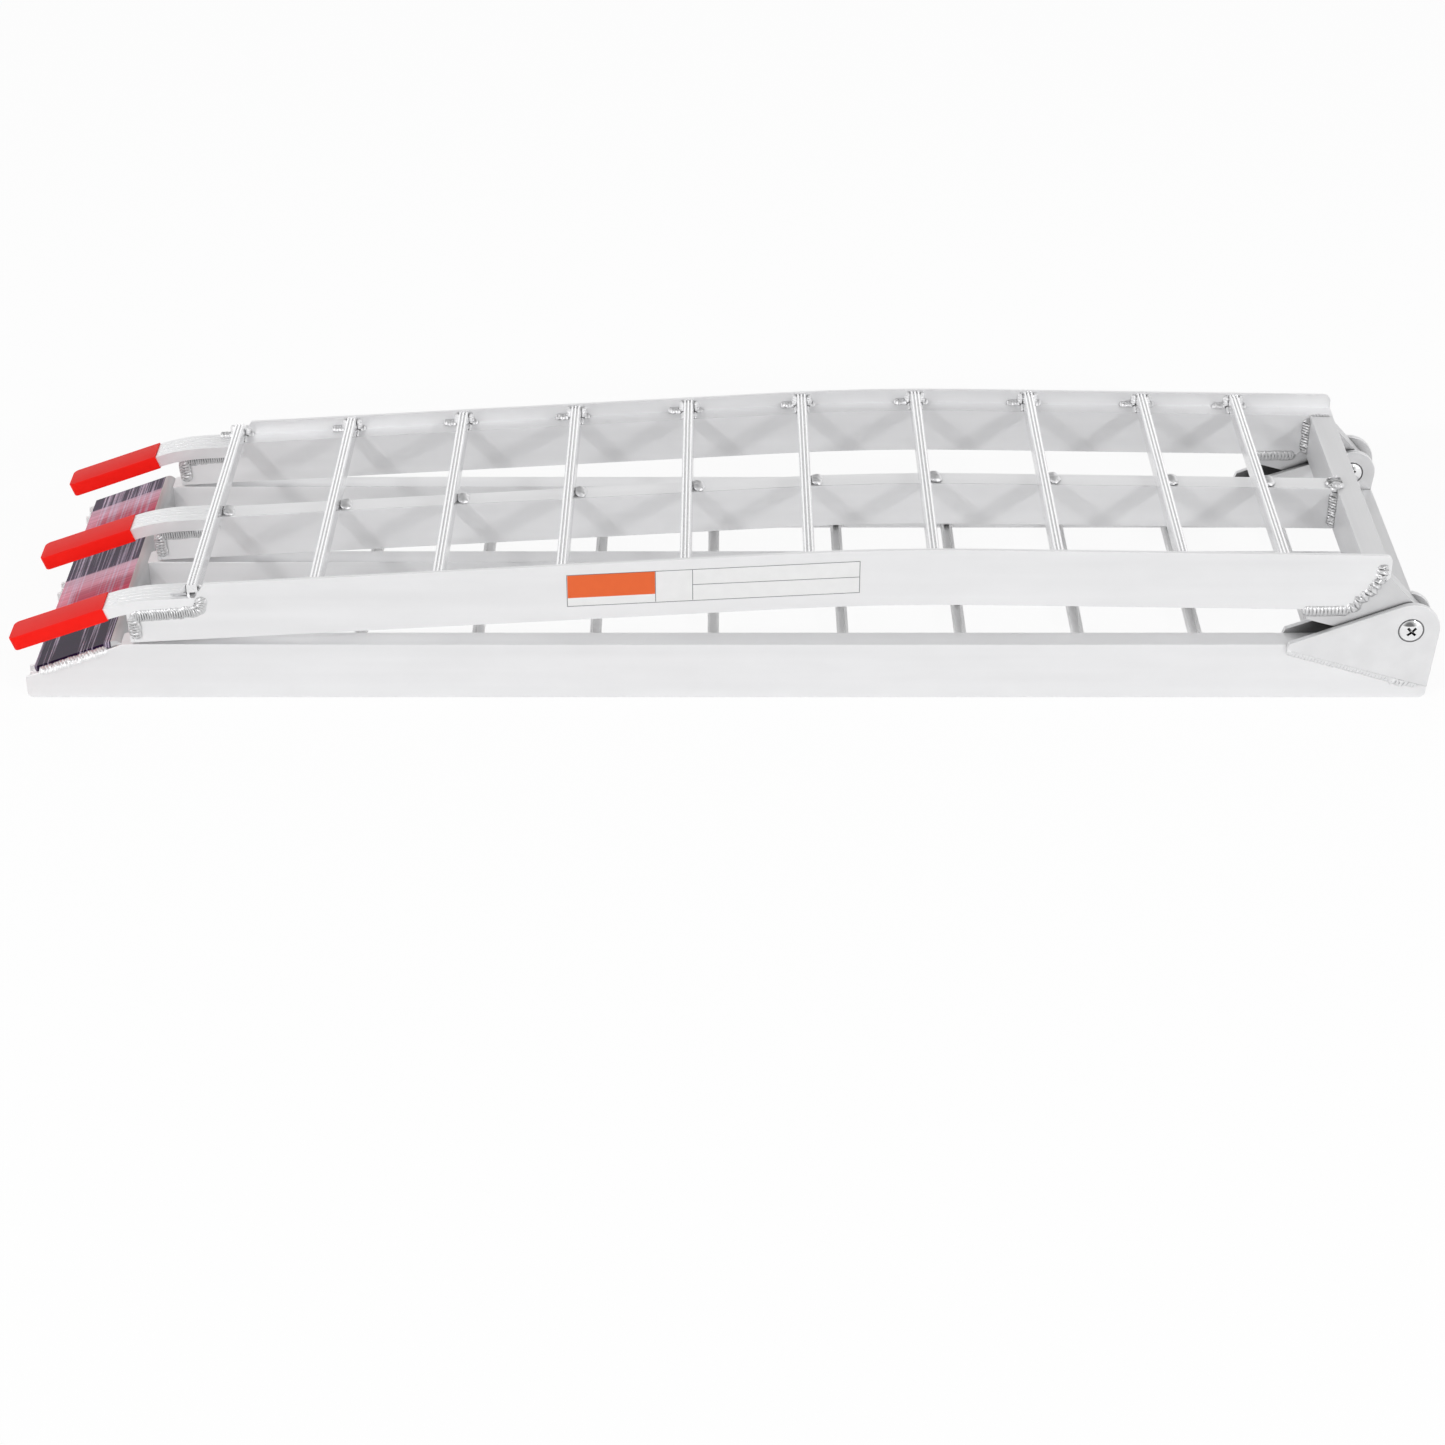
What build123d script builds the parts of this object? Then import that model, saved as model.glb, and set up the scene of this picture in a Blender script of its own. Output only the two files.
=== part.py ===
"""Folding arched loading ramp, folded flat: one STEP file for each piece, in millimetres.

X runs along the ramp with the hinge at +X, Y runs across it, and Z is up from the floor. The origin is the
middle of the folded ramp's footprint. The lower section lies with its tread side down and stays still. The
upper, arched section lies on it with its tread side up, and swings up and over about the hinge pivots.

Each section is drawn along its ledge line, which is the line of the top of the rails that the rungs sit on.
Depth below the ledge is negative and height above it, on the tread side, is positive.
"""

from build123d import *
from math import acos, atan2, cos, degrees, hypot, radians, sin
import os

os.makedirs("parts", exist_ok=True)

# Overall sizes
folded_length = 1164.8  # from the finger sleeves' tips to the noses of the hinge plates
ramp_width = 305.0  # over the outer faces of the side rails

# Rail tube, the same for side rails, centre rails and crossbars
rail_height = 38.1
rail_width = 20.1
tube_wall = 2.0
curb_height = 12.0  # outer flange of a side rail, above the ledge
curb_thickness = 3.0

# Arch of the upper section
hinge_slope = 0.87  # degrees, from the hinge up to the bend
arch_turn = 4.23  # degrees, through the bend
arch_radius = 2200.0
hinge_to_bend = 325.0  # from the hinge end to the start of the bend
rest_gap = 1.9  # under the upper rails' free ends, when folded

# Rungs
rung_width = 9.4
rung_height = 11.3
rung_top_width = 8.6
rung_slot_width = 5.0  # the rung is a channel, open below
rung_slot_depth = 3.6
ridge_count = 3
ridge_pitch = 2.9
ridge_height = 1.3
ridge_base = 2.6
ridge_crest = 1.2
rungs_upper = 10
first_rung_upper = 53.0  # from the rails' free ends to the first rung
last_rung_upper = 86.4  # from the last rung to the hinge end
last_gap_upper = 81.9  # the last bay is shorter than the rest
rungs_lower = 10
first_rung_lower = 165.8
last_rung_lower = 78.4
mid_gap_lower = 109.6  # the bay in the middle is longer than the rest

# Fingers that hook over a tailgate
finger_width = 27.0
finger_thickness = 10.0
finger_reach = 100.9  # of the sleeve's tip past the end of the rails
finger_seat = 54.5  # of the bar along the rail
finger_bend_setback = 21.0  # from the rail's end back to where the bar starts to bend
finger_bend_radius = 150.0
finger_bend = 16.4  # degrees
finger_groove_count = 4
finger_groove_width = 1.2
finger_groove_depth = 0.5
sleeve_wall = 1.1
sleeve_corner = 5.0
end_cap_thickness = 3.0
curb_run_in = 9.0  # length of the slant that starts the curb behind the fingers

# Hinge
pivot_diameter = 12.0
pivot_clearance = 0.05  # radial, in every hole that the pivot barrel passes
butt_gap = 1.0  # between the two sections' ends when the ramp is open
lower_end_past_pivot = 19.7
plate_nose_radius = 23.5
plate_thickness = 5.0
plate_length = 99.3  # from the pivot back to the plate's pointed end
plate_tail_height = 5.7
plate_tail_above_ledge = 35.6
plate_tail_lean = 1.9
plate_foot_setback = 1.0  # of the plate's lower corner behind the rail's end
plate_foot_above_ledge = 1.0
weld_gap = 0.3  # between the outer hinge plates and the rails
swing_clearance = 1.1  # between the inner hinge plates and the upper crossbar, folded and open
tongue_nose_radius = 15.5
tongue_side_clearance = 0.5
tongue_swing_clearance = 0.7  # all round a tongue, from the lower rail, folded and open
tongue_length = 87.5  # from the pivot back along the rail's underside
tongue_tail_height = 9.6
tongue_tail_lean = 3.5
end_cut_length = 29.0  # slanted cut across the lower corner of a side rail's end
end_cut_below_ledge = 8.1
end_corner_radius = 6.0  # on the curb's corner at the hinge end

# Pivot: a binding barrel and its screw
head_diameter = 20.6
head_height = 3.0
head_rim = 0.8
head_dome_steps = (1.0, 0.78, 0.4)  # shares of the radius, where the dome's flat-sided bands meet
screw_diameter = 8.0
screw_clearance = 0.1
recess_length = 9.0
recess_width = 1.9
recess_depth = 1.7
barrel_short_of_stack = 0.5

# Ground plate across the lower section's free end
ground_plate_thickness = 5.0
ground_plate_length = 70.5  # of its slope, from its edge to the bend
ground_plate_slope = 20.3  # degrees
ground_plate_inset = 2.5  # from the side rails' outer faces, for the weld
ground_plate_bend_radius = 6.0
ground_lip_height = 21.0
ground_nose_length = 9.8  # of the rails past the plate's edge
ground_end_past_tips = 10.4  # the lower rails end this far inside the sleeves' tips
ground_nose_height = 19.4  # where the rails' slanted cut meets their end faces
ground_corner_radius = 5.0
notch_clearance = 0.3

# Places worked out from the sizes above
half_length = folded_length / 2
half_width = ramp_width / 2
inner_face = half_width - rail_width
curb_inner_face = half_width - curb_thickness
pivot_x = half_length - plate_nose_radius
lower_end_x = pivot_x + lower_end_past_pivot
upper_end_x = pivot_x - lower_end_past_pivot - butt_gap
ground_end_x = -half_length + ground_end_past_tips
lower_top_z = curb_height + rail_height

SIDES = {"near": -1, "far": 1}


class Route:
    """A line in the XZ plane of straight runs and tangent arcs. Offsets are to the right of travel."""

    def __init__(self, x, z, heading):
        self.legs = []
        self.here = (x, z, heading)

    def ahead(self, length):
        self.legs.append((self.here, length, 0.0, 0.0))
        self.here = self.at(self.length())
        return self

    def turn(self, angle, radius):
        self.legs.append((self.here, radians(abs(angle)) * radius, angle, radius))
        self.here = self.at(self.length())
        return self

    def length(self):
        return sum(leg[1] for leg in self.legs)

    def at(self, distance):
        """Place and heading at a distance along the route."""
        for number, ((x, z, heading), length, angle, radius) in enumerate(self.legs):
            if distance <= length or number == len(self.legs) - 1:
                break
            distance -= length
        share = distance / length
        chord = distance if not angle else 2 * radius * sin(radians(abs(angle)) * share / 2)
        bearing = radians(heading + angle * share / 2)
        return x + chord * cos(bearing), z + chord * sin(bearing), heading + angle * share

    def part(self, start, end):
        """The same line from one distance to another."""
        piece = Route(*self.at(start))
        travelled = 0.0
        for _, length, angle, radius in self.legs:
            low, high = max(start, travelled), min(end, travelled + length)
            if high - low > 1e-6:
                share = (high - low) / length
                piece.turn(angle * share, radius) if angle else piece.ahead(high - low)
            travelled += length
        return piece


def beside(place, offset):
    """The point at an offset to the right of a place on a route."""
    x, z, heading = place
    return Vector(x + offset * sin(radians(heading)), 0, z - offset * cos(radians(heading)))


def ribbon(route, low, high):
    """The face between two lines that run along a route, at two offsets from it."""
    edges = []
    for offset in (low, high):
        travelled = 0.0
        for _, length, angle, _ in route.legs:
            ends = [beside(route.at(travelled + length * share), offset) for share in (0, 0.5, 1)]
            edges.append(ThreePointArc(*ends) if angle else Line(ends[0], ends[2]))
            travelled += length
    for place in (route.at(0), route.at(route.length())):
        edges.append(Line(beside(place, low), beside(place, high)))
    return make_face(edges)


def outline(*points):
    """A face in the XZ plane with straight sides."""
    corners = [point if isinstance(point, Vector) else Vector(point[0], 0, point[1]) for point in points]
    return make_face(Polyline(*corners, close=True))


def across(face, y_from, y_to):
    """The solid that a face in the XZ plane sweeps from one Y to another."""
    return Pos(0, min(y_from, y_to), 0) * extrude(face, abs(y_to - y_from), dir=(0, 1, 0))


def pin_along_y(diameter, y_from, y_to, x=None, z=None):
    """A round bar along Y, at the hinge pivot unless another place is given."""
    x = pivot_x if x is None else x
    z = pivot_z if z is None else z
    centre = (x, (y_from + y_to) / 2, z)
    return Pos(*centre) * Rot(90, 0, 0) * Cylinder(diameter / 2, abs(y_to - y_from))


def tangent_point(point, centre, radius, side):
    """Where a line from a point touches a circle, on the side to the right (1) or left (-1) of it."""
    dx, dz = centre.X - point.X, centre.Z - point.Z
    reach = hypot(dx, dz)
    bearing = atan2(-dz, -dx) + side * acos(radius / reach)
    return centre + Vector(radius * cos(bearing), 0, radius * sin(bearing))


# Ledge lines. The lower one runs towards the hinge, so its right-hand side, the tread side, faces down.
lower_route = Route(ground_end_x, curb_height, 0).ahead(lower_end_x - ground_end_x)

# The free ends of the upper rails come down to the rest gap, and that sets the height of the pivot.
upper_rail_end_x = -half_length + finger_reach
free_slope = arch_turn - hinge_slope


def upper_ledge(end_height):
    """The upper ledge line, from its hinge end at a given height to the rails' free ends."""
    route = Route(upper_end_x, end_height, 180 - hinge_slope).ahead(hinge_to_bend)
    route.turn(arch_turn, arch_radius)
    return route.ahead((route.here[0] - upper_rail_end_x) / cos(radians(free_slope)))


trial = upper_ledge(0)
underside_at_free_end = beside(trial.here, -rail_height).Z
ledge_at_hinge = lower_top_z + rest_gap - underside_at_free_end
upper_route = upper_ledge(ledge_at_hinge)
pivot_z = (ledge_at_hinge + curb_height) / 2  # the two ledges come level when the ramp is open
pivot = Vector(pivot_x, 0, pivot_z)


def rail_tube(route, y_from, y_to, curb_side=0):
    """A rail: a rectangular tube, with an upright curb along its outer side if it has one."""
    rail = across(ribbon(route, -rail_height, 0), y_from, y_to)
    low, high = sorted((y_from, y_to))
    rail -= across(ribbon(route, tube_wall - rail_height, -tube_wall), low + tube_wall, high - tube_wall)
    if curb_side:
        rail += across(
            ribbon(route, 0, curb_height), curb_side * curb_inner_face, curb_side * half_width
        )
    return rail


def crossbar(route, half_span):
    """The tube across a section's hinge end, between its side rails."""
    walls = ribbon(route, -rail_height, 0)
    bore_route = route.part(tube_wall, route.length() - tube_wall)
    walls -= ribbon(bore_route, tube_wall - rail_height, -tube_wall)
    return across(walls, -half_span, half_span)


def rung_profile():
    """Section of a rung: a channel with lengthwise ridges for grip on its top."""
    foot, shoulder = rung_width / 2, rung_top_width / 2
    crown = rung_height - ridge_height
    points = [(-rung_slot_width / 2, 0), (-foot, 0), (-shoulder, crown)]
    for number in range(ridge_count):
        middle = (number - (ridge_count - 1) / 2) * ridge_pitch
        points += [(middle - ridge_base / 2, crown), (middle - ridge_crest / 2, rung_height)]
        points += [(middle + ridge_crest / 2, rung_height), (middle + ridge_base / 2, crown)]
    points += [(shoulder, crown), (foot, 0), (rung_slot_width / 2, 0)]
    points += [(rung_slot_width / 2, rung_slot_depth), (-rung_slot_width / 2, rung_slot_depth)]
    return outline(*points)


def rung(place):
    """A rung across a section, standing on the ledge line at a place on it."""
    x, z, heading = place
    bar = across(rung_profile(), -curb_inner_face, curb_inner_face)
    return Pos(x, 0, z) * Rot(0, 180 - heading, 0) * bar


def finger_route():
    """Top line of a finger: along the ledge to the bend, then straight down towards the sleeve's tip."""
    length = upper_route.length()
    route = upper_route.part(length - finger_seat, length - finger_bend_setback)
    route.turn(finger_bend, finger_bend_radius)
    slope = radians(route.here[2] - 180)
    bar_end_x = -half_length + sleeve_wall * (cos(slope) + sin(slope))
    return route.ahead((route.here[0] - bar_end_x) / cos(slope))


def finger_middle(side):
    """A side finger is flush with the outer face of its rail, and the centre one is on the middle."""
    return side * (half_width - finger_width / 2)


def finger_envelope(above):
    """Room for the bars, over the full width of the ramp, used to cut the rails' notches."""
    return across(ribbon(finger_route(), -finger_thickness, above), -ramp_width, ramp_width)


def rounded_tip(bar, radius):
    """A bar along the finger line with the upright corners of its tip rounded."""
    tip = bar.faces().sort_by(Axis.X)[0]
    return fillet([edge for edge in tip.edges() if abs(edge.tangent_at(0.5).Y) < 0.5], radius)


def finger_bar(side):
    """The bent flat bar of a finger, its tip rounded to lie inside the sleeve."""
    middle, half = finger_middle(side), finger_width / 2
    bar = across(ribbon(finger_route(), -finger_thickness, 0), middle - half, middle + half)
    return rounded_tip(bar, sleeve_corner - sleeve_wall)


def finger(side):
    """A tailgate finger: a bent flat bar with lengthwise grooves on top."""
    route, middle = finger_route(), finger_middle(side)
    bar = finger_bar(side)
    spacing = finger_width / (finger_groove_count + 1)
    groove = across(ribbon(route, -finger_groove_depth, 1), -finger_groove_width / 2, finger_groove_width / 2)
    for number in range(finger_groove_count):
        bar -= Pos(0, middle - finger_width / 2 + spacing * (number + 1), 0) * groove
    return bar


def finger_sleeve(side):
    """The soft sleeve over the sloping end of a finger, closed at its tip."""
    route, middle = finger_route(), finger_middle(side)
    half = finger_width / 2 + sleeve_wall
    straight = route.legs[-1][1]
    cover = Route(*route.at(route.length() - straight)).ahead(straight + sleeve_wall)
    outside = ribbon(cover, -finger_thickness - sleeve_wall, sleeve_wall)
    return rounded_tip(across(outside, middle - half, middle + half), sleeve_corner) - finger_bar(side)


def hinge_end_corner(end_x, ledge_z, tread):
    """Cutter for the slanted lower corner of a side rail's hinge end. tread is 1 if the tread faces up."""
    start = (end_x, ledge_z - tread * end_cut_below_ledge)
    finish = (end_x - end_cut_length, ledge_z - tread * rail_height)
    run, fall = finish[0] - start[0], finish[1] - start[1]
    past_start = (start[0] - run * 0.2, start[1] - fall * 0.2)
    past_finish = (finish[0] + run * 0.2, finish[1] + fall * 0.2)
    return across(outline(past_start, past_finish, (past_start[0], past_finish[1])), -ramp_width, ramp_width)


def curb_corner(x, z, x_side, z_side, radius):
    """Cutter that rounds a curb's corner at (x, z), which points towards x_side and z_side."""
    centre_x, centre_z = x - x_side * radius, z - z_side * radius
    far_x, far_z = x + x_side * radius, z + z_side * radius
    block = outline((centre_x, centre_z), (far_x, centre_z), (far_x, far_z), (centre_x, far_z))
    return across(block, -ramp_width, ramp_width) - pin_along_y(
        2 * radius, -2 * ramp_width, 2 * ramp_width, centre_x, centre_z
    )


def upper_side_rail(side):
    """An arched side rail, notched for its finger, with a slanted hinge end that takes the tongue."""
    rail = rail_tube(upper_route, side * half_width, side * inner_face, side)
    length = upper_route.length()
    start = length - finger_seat
    run_in_top = beside(upper_route.at(start - curb_run_in), curb_height)
    run_in_foot = beside(upper_route.at(start), 0)
    beyond_low = beside(upper_route.at(length + curb_height), 0)
    beyond_high = beside(upper_route.at(length + curb_height), 2 * curb_height)
    over = beside(upper_route.at(start - curb_run_in), 2 * curb_height)
    rail -= across(outline(run_in_foot, run_in_top, over, beyond_high, beyond_low), -ramp_width, ramp_width)
    rail -= finger_envelope(2 * curb_height)
    rail -= hinge_end_corner(upper_end_x, ledge_at_hinge, 1)
    top = beside(upper_route.at(0), curb_height)
    return rail - curb_corner(top.X, top.Z, 1, 1, end_corner_radius)


def upper_centre_rail():
    """The arched centre rail, from the crossbar to its finger."""
    route = upper_route.part(rail_width, upper_route.length())
    return rail_tube(route, -rail_width / 2, rail_width / 2) - finger_envelope(2 * curb_height)


def end_cap(middle):
    """The plate that closes a rail's free end, under its finger."""
    length = upper_route.length()
    x, z, heading = upper_route.at(length)
    face = ribbon(Route(x, z, heading).ahead(end_cap_thickness), -rail_height, 0)
    cap = across(face, middle - rail_width / 2, middle + rail_width / 2)
    return cap - finger_envelope(2 * curb_height)


def tongue_outline():
    """Outline of a tongue, running on up into the rail that it is welded to."""
    start = Vector(upper_end_x, 0, ledge_at_hinge - end_cut_below_ledge)
    tail = beside(upper_route.at(tongue_length - (pivot_x - upper_end_x)), -rail_height)
    tail_foot = Vector(tail.X + tongue_tail_lean, 0, tail.Z - tongue_tail_height)
    under = tangent_point(tail_foot, pivot, tongue_nose_radius, 1)
    over = tangent_point(start, pivot, tongue_nose_radius, -1)
    edges = [Line(start, tail), Line(tail, tail_foot), Line(tail_foot, under)]
    edges += [nose_arc(under, over, tongue_nose_radius), Line(over, start)]
    return make_face(edges)


def tongue(side):
    """The lug that fills the slanted end of an upper side rail and reaches round the pivot."""
    middle = side * (half_width - rail_width / 2)
    half = rail_width / 2 - tongue_side_clearance
    lug = across(tongue_outline(), middle - half, middle + half)
    rail = across(ribbon(upper_route, -rail_height, 0), -half_width, half_width)
    lug -= rail - hinge_end_corner(upper_end_x, ledge_at_hinge, 1)
    return lug - pivot_hole()


def tongue_room():
    """Cutter for whatever comes too near a tongue, folded or open."""
    folded = across(offset(tongue_outline(), tongue_swing_clearance), -ramp_width, ramp_width)
    return folded + folded.rotate(Axis(pivot, (0, 1, 0)), 180)


def nose_arc(start, end, radius):
    """The arc about the pivot from one tangent point round the hinge end to another."""
    low = atan2(start.Z - pivot.Z, start.X - pivot.X)
    high = atan2(end.Z - pivot.Z, end.X - pivot.X)
    middle = (low + high) / 2
    return ThreePointArc(start, pivot + Vector(radius * cos(middle), 0, radius * sin(middle)), end)


def pivot_hole():
    """Cutter for the running hole that a hinge lug or plate has for the pivot barrel."""
    return pin_along_y(pivot_diameter + 2 * pivot_clearance, -ramp_width, ramp_width)


def clevis_tail():
    """The two corners at a hinge plate's pointed end, lower then upper."""
    foot = Vector(pivot_x - plate_length, 0, curb_height + plate_tail_above_ledge)
    return foot, foot + Vector(plate_tail_lean, 0, plate_tail_height)


def outer_clevis_outline():
    """Outline of the hinge plate on a lower side rail's outer face."""
    tail_foot, tail_head = clevis_tail()
    foot = Vector(lower_end_x - plate_foot_setback, 0, curb_height + plate_foot_above_ledge)
    over = tangent_point(tail_head, pivot, plate_nose_radius, -1)
    front = tangent_point(foot, pivot, plate_nose_radius, 1)
    edges = [Line(tail_foot, tail_head), Line(tail_head, over)]
    edges += [nose_arc(front, over, plate_nose_radius), Line(front, foot), Line(foot, tail_foot)]
    return make_face(edges)


def inner_clevis_outline():
    """Outline of the plate on the rail's inner face, which also clears the upper crossbar as it swings."""
    tail_foot, tail_head = clevis_tail()
    foot = Vector(lower_end_x - plate_foot_setback, 0, curb_height + plate_foot_above_ledge)
    bar_corner = beside(upper_route.at(0), -rail_height)
    below_bar = bar_corner - Vector(0, 0, swing_clearance)
    along, reach = below_bar - tail_head, pivot - tail_head
    radius = abs(along.X * reach.Z - along.Z * reach.X) / along.length
    front_x = 2 * pivot_x - upper_end_x - swing_clearance
    knee = Vector(front_x, 0, 2 * pivot_z - bar_corner.Z + swing_clearance)
    over = tangent_point(tail_head, pivot, radius, -1)
    front = tangent_point(knee, pivot, radius, 1)
    edges = [Line(tail_foot, tail_head), Line(tail_head, over)]
    edges += [nose_arc(front, over, radius), Line(front, knee), Line(knee, foot), Line(foot, tail_foot)]
    return make_face(edges)


def clevis_plate(side, outer):
    """One of the four plates that carry the pivots."""
    if outer:
        face, seat, away = outer_clevis_outline(), half_width + weld_gap, 1
    else:
        face, seat, away = inner_clevis_outline(), inner_face, -1
    return across(face, side * seat, side * (seat + away * plate_thickness)) - pivot_hole()


def pivot_head():
    """The domed head of a pivot barrel or screw with its cross recess, standing on Z = 0."""
    rise = head_height - head_rim
    bulge = (head_diameter**2 / 4 + rise**2) / (2 * rise)
    points = [(0, 0), (head_diameter / 2, 0)]
    for share in head_dome_steps:
        radius = share * head_diameter / 2
        points.append((radius, head_height - bulge + (bulge**2 - radius**2) ** 0.5))
    corners = [Vector(radius, 0, height) for radius, height in points + [(0, points[-1][1])]]
    head = revolve(make_face(Polyline(*corners, close=True)), Axis.Z)
    for angle in (45, 135):
        slot = Box(recess_length, recess_width, 2 * recess_depth)
        head -= Pos(0, 0, head_height) * Rot(0, 0, angle) * slot
    return head


def pivot_barrel(side):
    """A headed pivot tube, pushed through the hinge from outside and bored for its screw."""
    head_seat = half_width + weld_gap + plate_thickness
    tube_end = inner_face - plate_thickness + barrel_short_of_stack
    barrel = pin_along_y(pivot_diameter, side * head_seat, side * tube_end)
    barrel += Pos(pivot_x, side * head_seat, pivot_z) * Rot(-90 * side, 0, 0) * pivot_head()
    return barrel - pin_along_y(screw_diameter + 2 * screw_clearance, side * (head_seat - 1), side * tube_end)


def pivot_screw(side):
    """The screw that closes a pivot barrel from the inner side of the hinge."""
    head_seat = inner_face - plate_thickness
    end = half_width + weld_gap + plate_thickness - 4.0
    screw = pin_along_y(screw_diameter, side * head_seat, side * end)
    return screw + Pos(pivot_x, side * head_seat, pivot_z) * Rot(90 * side, 0, 0) * pivot_head()


def ground_cut_place(distance):
    """A point on the slanted cut across the lower rails' free ends, from its lower end."""
    slope = radians(ground_plate_slope)
    return Vector(ground_end_x + distance * cos(slope), 0, ground_nose_height + distance * sin(slope))


def above_ground_cut():
    """Cutter for everything over the slanted cut, at the free end of the lower section."""
    reach = 2 * ground_plate_length
    low, high = ground_cut_place(-reach), ground_cut_place(reach)
    return across(outline(low, high, (low.X, high.Z)), -ramp_width, ramp_width)


def lower_side_rail(side):
    """A straight side rail, tread side down, cut away for the ground plate and for the hinge."""
    rail = rail_tube(lower_route, side * half_width, side * inner_face, side)
    rail -= above_ground_cut()
    rail -= hinge_end_corner(lower_end_x, curb_height, -1)
    rail -= tongue_room()
    rail -= curb_corner(ground_end_x, 0, -1, -1, ground_corner_radius)
    return rail - curb_corner(lower_end_x, 0, 1, -1, end_corner_radius)


def lower_centre_rail():
    """The straight centre rail, up to the lower crossbar."""
    route = lower_route.part(0, lower_route.length() - rail_width)
    return rail_tube(route, -rail_width / 2, rail_width / 2) - above_ground_cut()


def ground_plate():
    """The sloping plate across the lower section's free end, with a lip turned down between the rails."""
    foot = ground_cut_place(ground_nose_length)
    slope = radians(ground_plate_slope)
    top = foot + Vector(-ground_plate_thickness * sin(slope), 0, ground_plate_thickness * cos(slope))
    route = Route(top.X, top.Z, ground_plate_slope).ahead(ground_plate_length)
    route.turn(-(90 + ground_plate_slope), ground_plate_bend_radius)
    route.ahead(ground_lip_height)
    half = half_width - ground_plate_inset
    plate = across(ribbon(route, 0, ground_plate_thickness), -half, half)
    slot = rail_width + 2 * notch_clearance
    low, high = ground_cut_place(0), ground_cut_place(2 * ground_plate_length)
    below = across(outline(low, high, (high.X, 0), (low.X, 0)), -slot / 2, slot / 2)
    for side in (-1, 0, 1):
        plate -= Pos(0, side * (half_width - rail_width / 2), 0) * below
    return plate


def export(name, shape):
    shape.label = name
    export_step(shape, f"parts/{name}.step")


for name, side in SIDES.items():
    rail_middle = side * (half_width - rail_width / 2)
    export(f"upper_rail_{name}", upper_side_rail(side))
    export(f"finger_{name}", finger(side))
    export(f"finger_sleeve_{name}", finger_sleeve(side))
    export(f"end_cap_{name}", end_cap(rail_middle))
    export(f"tongue_{name}", tongue(side))
    export(f"lower_rail_{name}", lower_side_rail(side))
    export(f"clevis_plate_{name}_outer", clevis_plate(side, True))
    export(f"clevis_plate_{name}_inner", clevis_plate(side, False))
    export(f"pivot_barrel_{name}", pivot_barrel(side))
    export(f"pivot_screw_{name}", pivot_screw(side))

export("upper_rail_centre", upper_centre_rail())
export("finger_centre", finger(0))
export("finger_sleeve_centre", finger_sleeve(0))
export("end_cap_centre", end_cap(0))
export("upper_crossbar", crossbar(upper_route.part(0, rail_width), inner_face))
export("lower_rail_centre", lower_centre_rail())
lower_bar_route = lower_route.part(lower_route.length() - rail_width, lower_route.length())
export("lower_crossbar", crossbar(lower_bar_route, inner_face - plate_thickness))
export("ground_plate", ground_plate())

upper_pitch = upper_route.length() - first_rung_upper - last_gap_upper - last_rung_upper
upper_pitch /= rungs_upper - 2
for number in range(rungs_upper):
    distance = last_rung_upper + upper_pitch * number
    if number:
        distance += last_gap_upper - upper_pitch
    export(f"upper_rung_{rungs_upper - number:02d}", rung(upper_route.at(distance)))

lower_pitch = lower_route.length() - first_rung_lower - mid_gap_lower - last_rung_lower
lower_pitch /= rungs_lower - 2
for number in range(rungs_lower):
    distance = first_rung_lower + lower_pitch * number
    if number >= rungs_lower / 2:
        distance += mid_gap_lower - lower_pitch
    export(f"lower_rung_{number + 1:02d}", rung(lower_route.at(distance)))
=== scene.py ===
# %% [markdown]
# # A folding loading ramp in welded aluminium
#
# The ramp is two ladder-like sections joined by a hinge, lying folded. Its solids come ready made, so this lesson
# is about everything that makes them look real: bare extruded aluminium, weld beads with their ripples, soft red
# sleeves, chrome pivot heads, a polished plate with painted reflections, and calm studio light.
#
# Loading comes first. Every later piece takes its place from the loaded solids, so nothing is fitted by eye.

# %% Load the solids
import math
import bmesh
import bpy
from mathutils import Matrix, Vector, noise


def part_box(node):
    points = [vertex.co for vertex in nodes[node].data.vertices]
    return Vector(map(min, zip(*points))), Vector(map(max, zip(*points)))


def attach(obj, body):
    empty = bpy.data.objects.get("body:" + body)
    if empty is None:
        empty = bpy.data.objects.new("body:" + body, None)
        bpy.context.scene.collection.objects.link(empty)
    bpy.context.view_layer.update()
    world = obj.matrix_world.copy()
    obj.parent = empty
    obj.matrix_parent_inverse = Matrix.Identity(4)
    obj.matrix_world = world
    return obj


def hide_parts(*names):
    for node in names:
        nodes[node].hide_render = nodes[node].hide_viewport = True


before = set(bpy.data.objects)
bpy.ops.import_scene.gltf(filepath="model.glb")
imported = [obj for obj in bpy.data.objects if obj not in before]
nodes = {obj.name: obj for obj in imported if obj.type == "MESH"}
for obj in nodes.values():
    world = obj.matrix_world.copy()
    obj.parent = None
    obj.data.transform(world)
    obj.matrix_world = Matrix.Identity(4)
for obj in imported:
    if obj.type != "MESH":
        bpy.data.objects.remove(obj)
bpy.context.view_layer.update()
MM = 0.001

# %% [markdown]
# A camera can be described by a lens and a place. A long lens from a few metres keeps the rails nearly parallel, as
# a product picture does. Looking down by about thirty degrees shows the rungs and still lets light through below.

# %% Camera
def add_object(name, data):
    thing = bpy.data.objects.new(name, data)
    bpy.context.collection.objects.link(thing)
    return thing


camera = add_object("camera", bpy.data.cameras.new("camera"))
camera.data.sensor_width = 36.0
camera.data.lens = 78.3
camera.location = (0, -2.3816, 1.3173)
camera.rotation_euler = (math.radians(58.96), 0, 0)
camera.data.clip_start, camera.data.clip_end = 0.1, 50
bpy.context.scene.camera = camera
print("camera", round(camera.location.length, 2), "m from the ramp")

# %% [markdown]
# Colours are written as sRGB hex values, the way a paint chart or a picture editor gives them. Blender's sockets
# want linear light, so one function converts. A second one adds a shader node with its settings and its links, which
# keeps each material readable as a short recipe.

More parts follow.
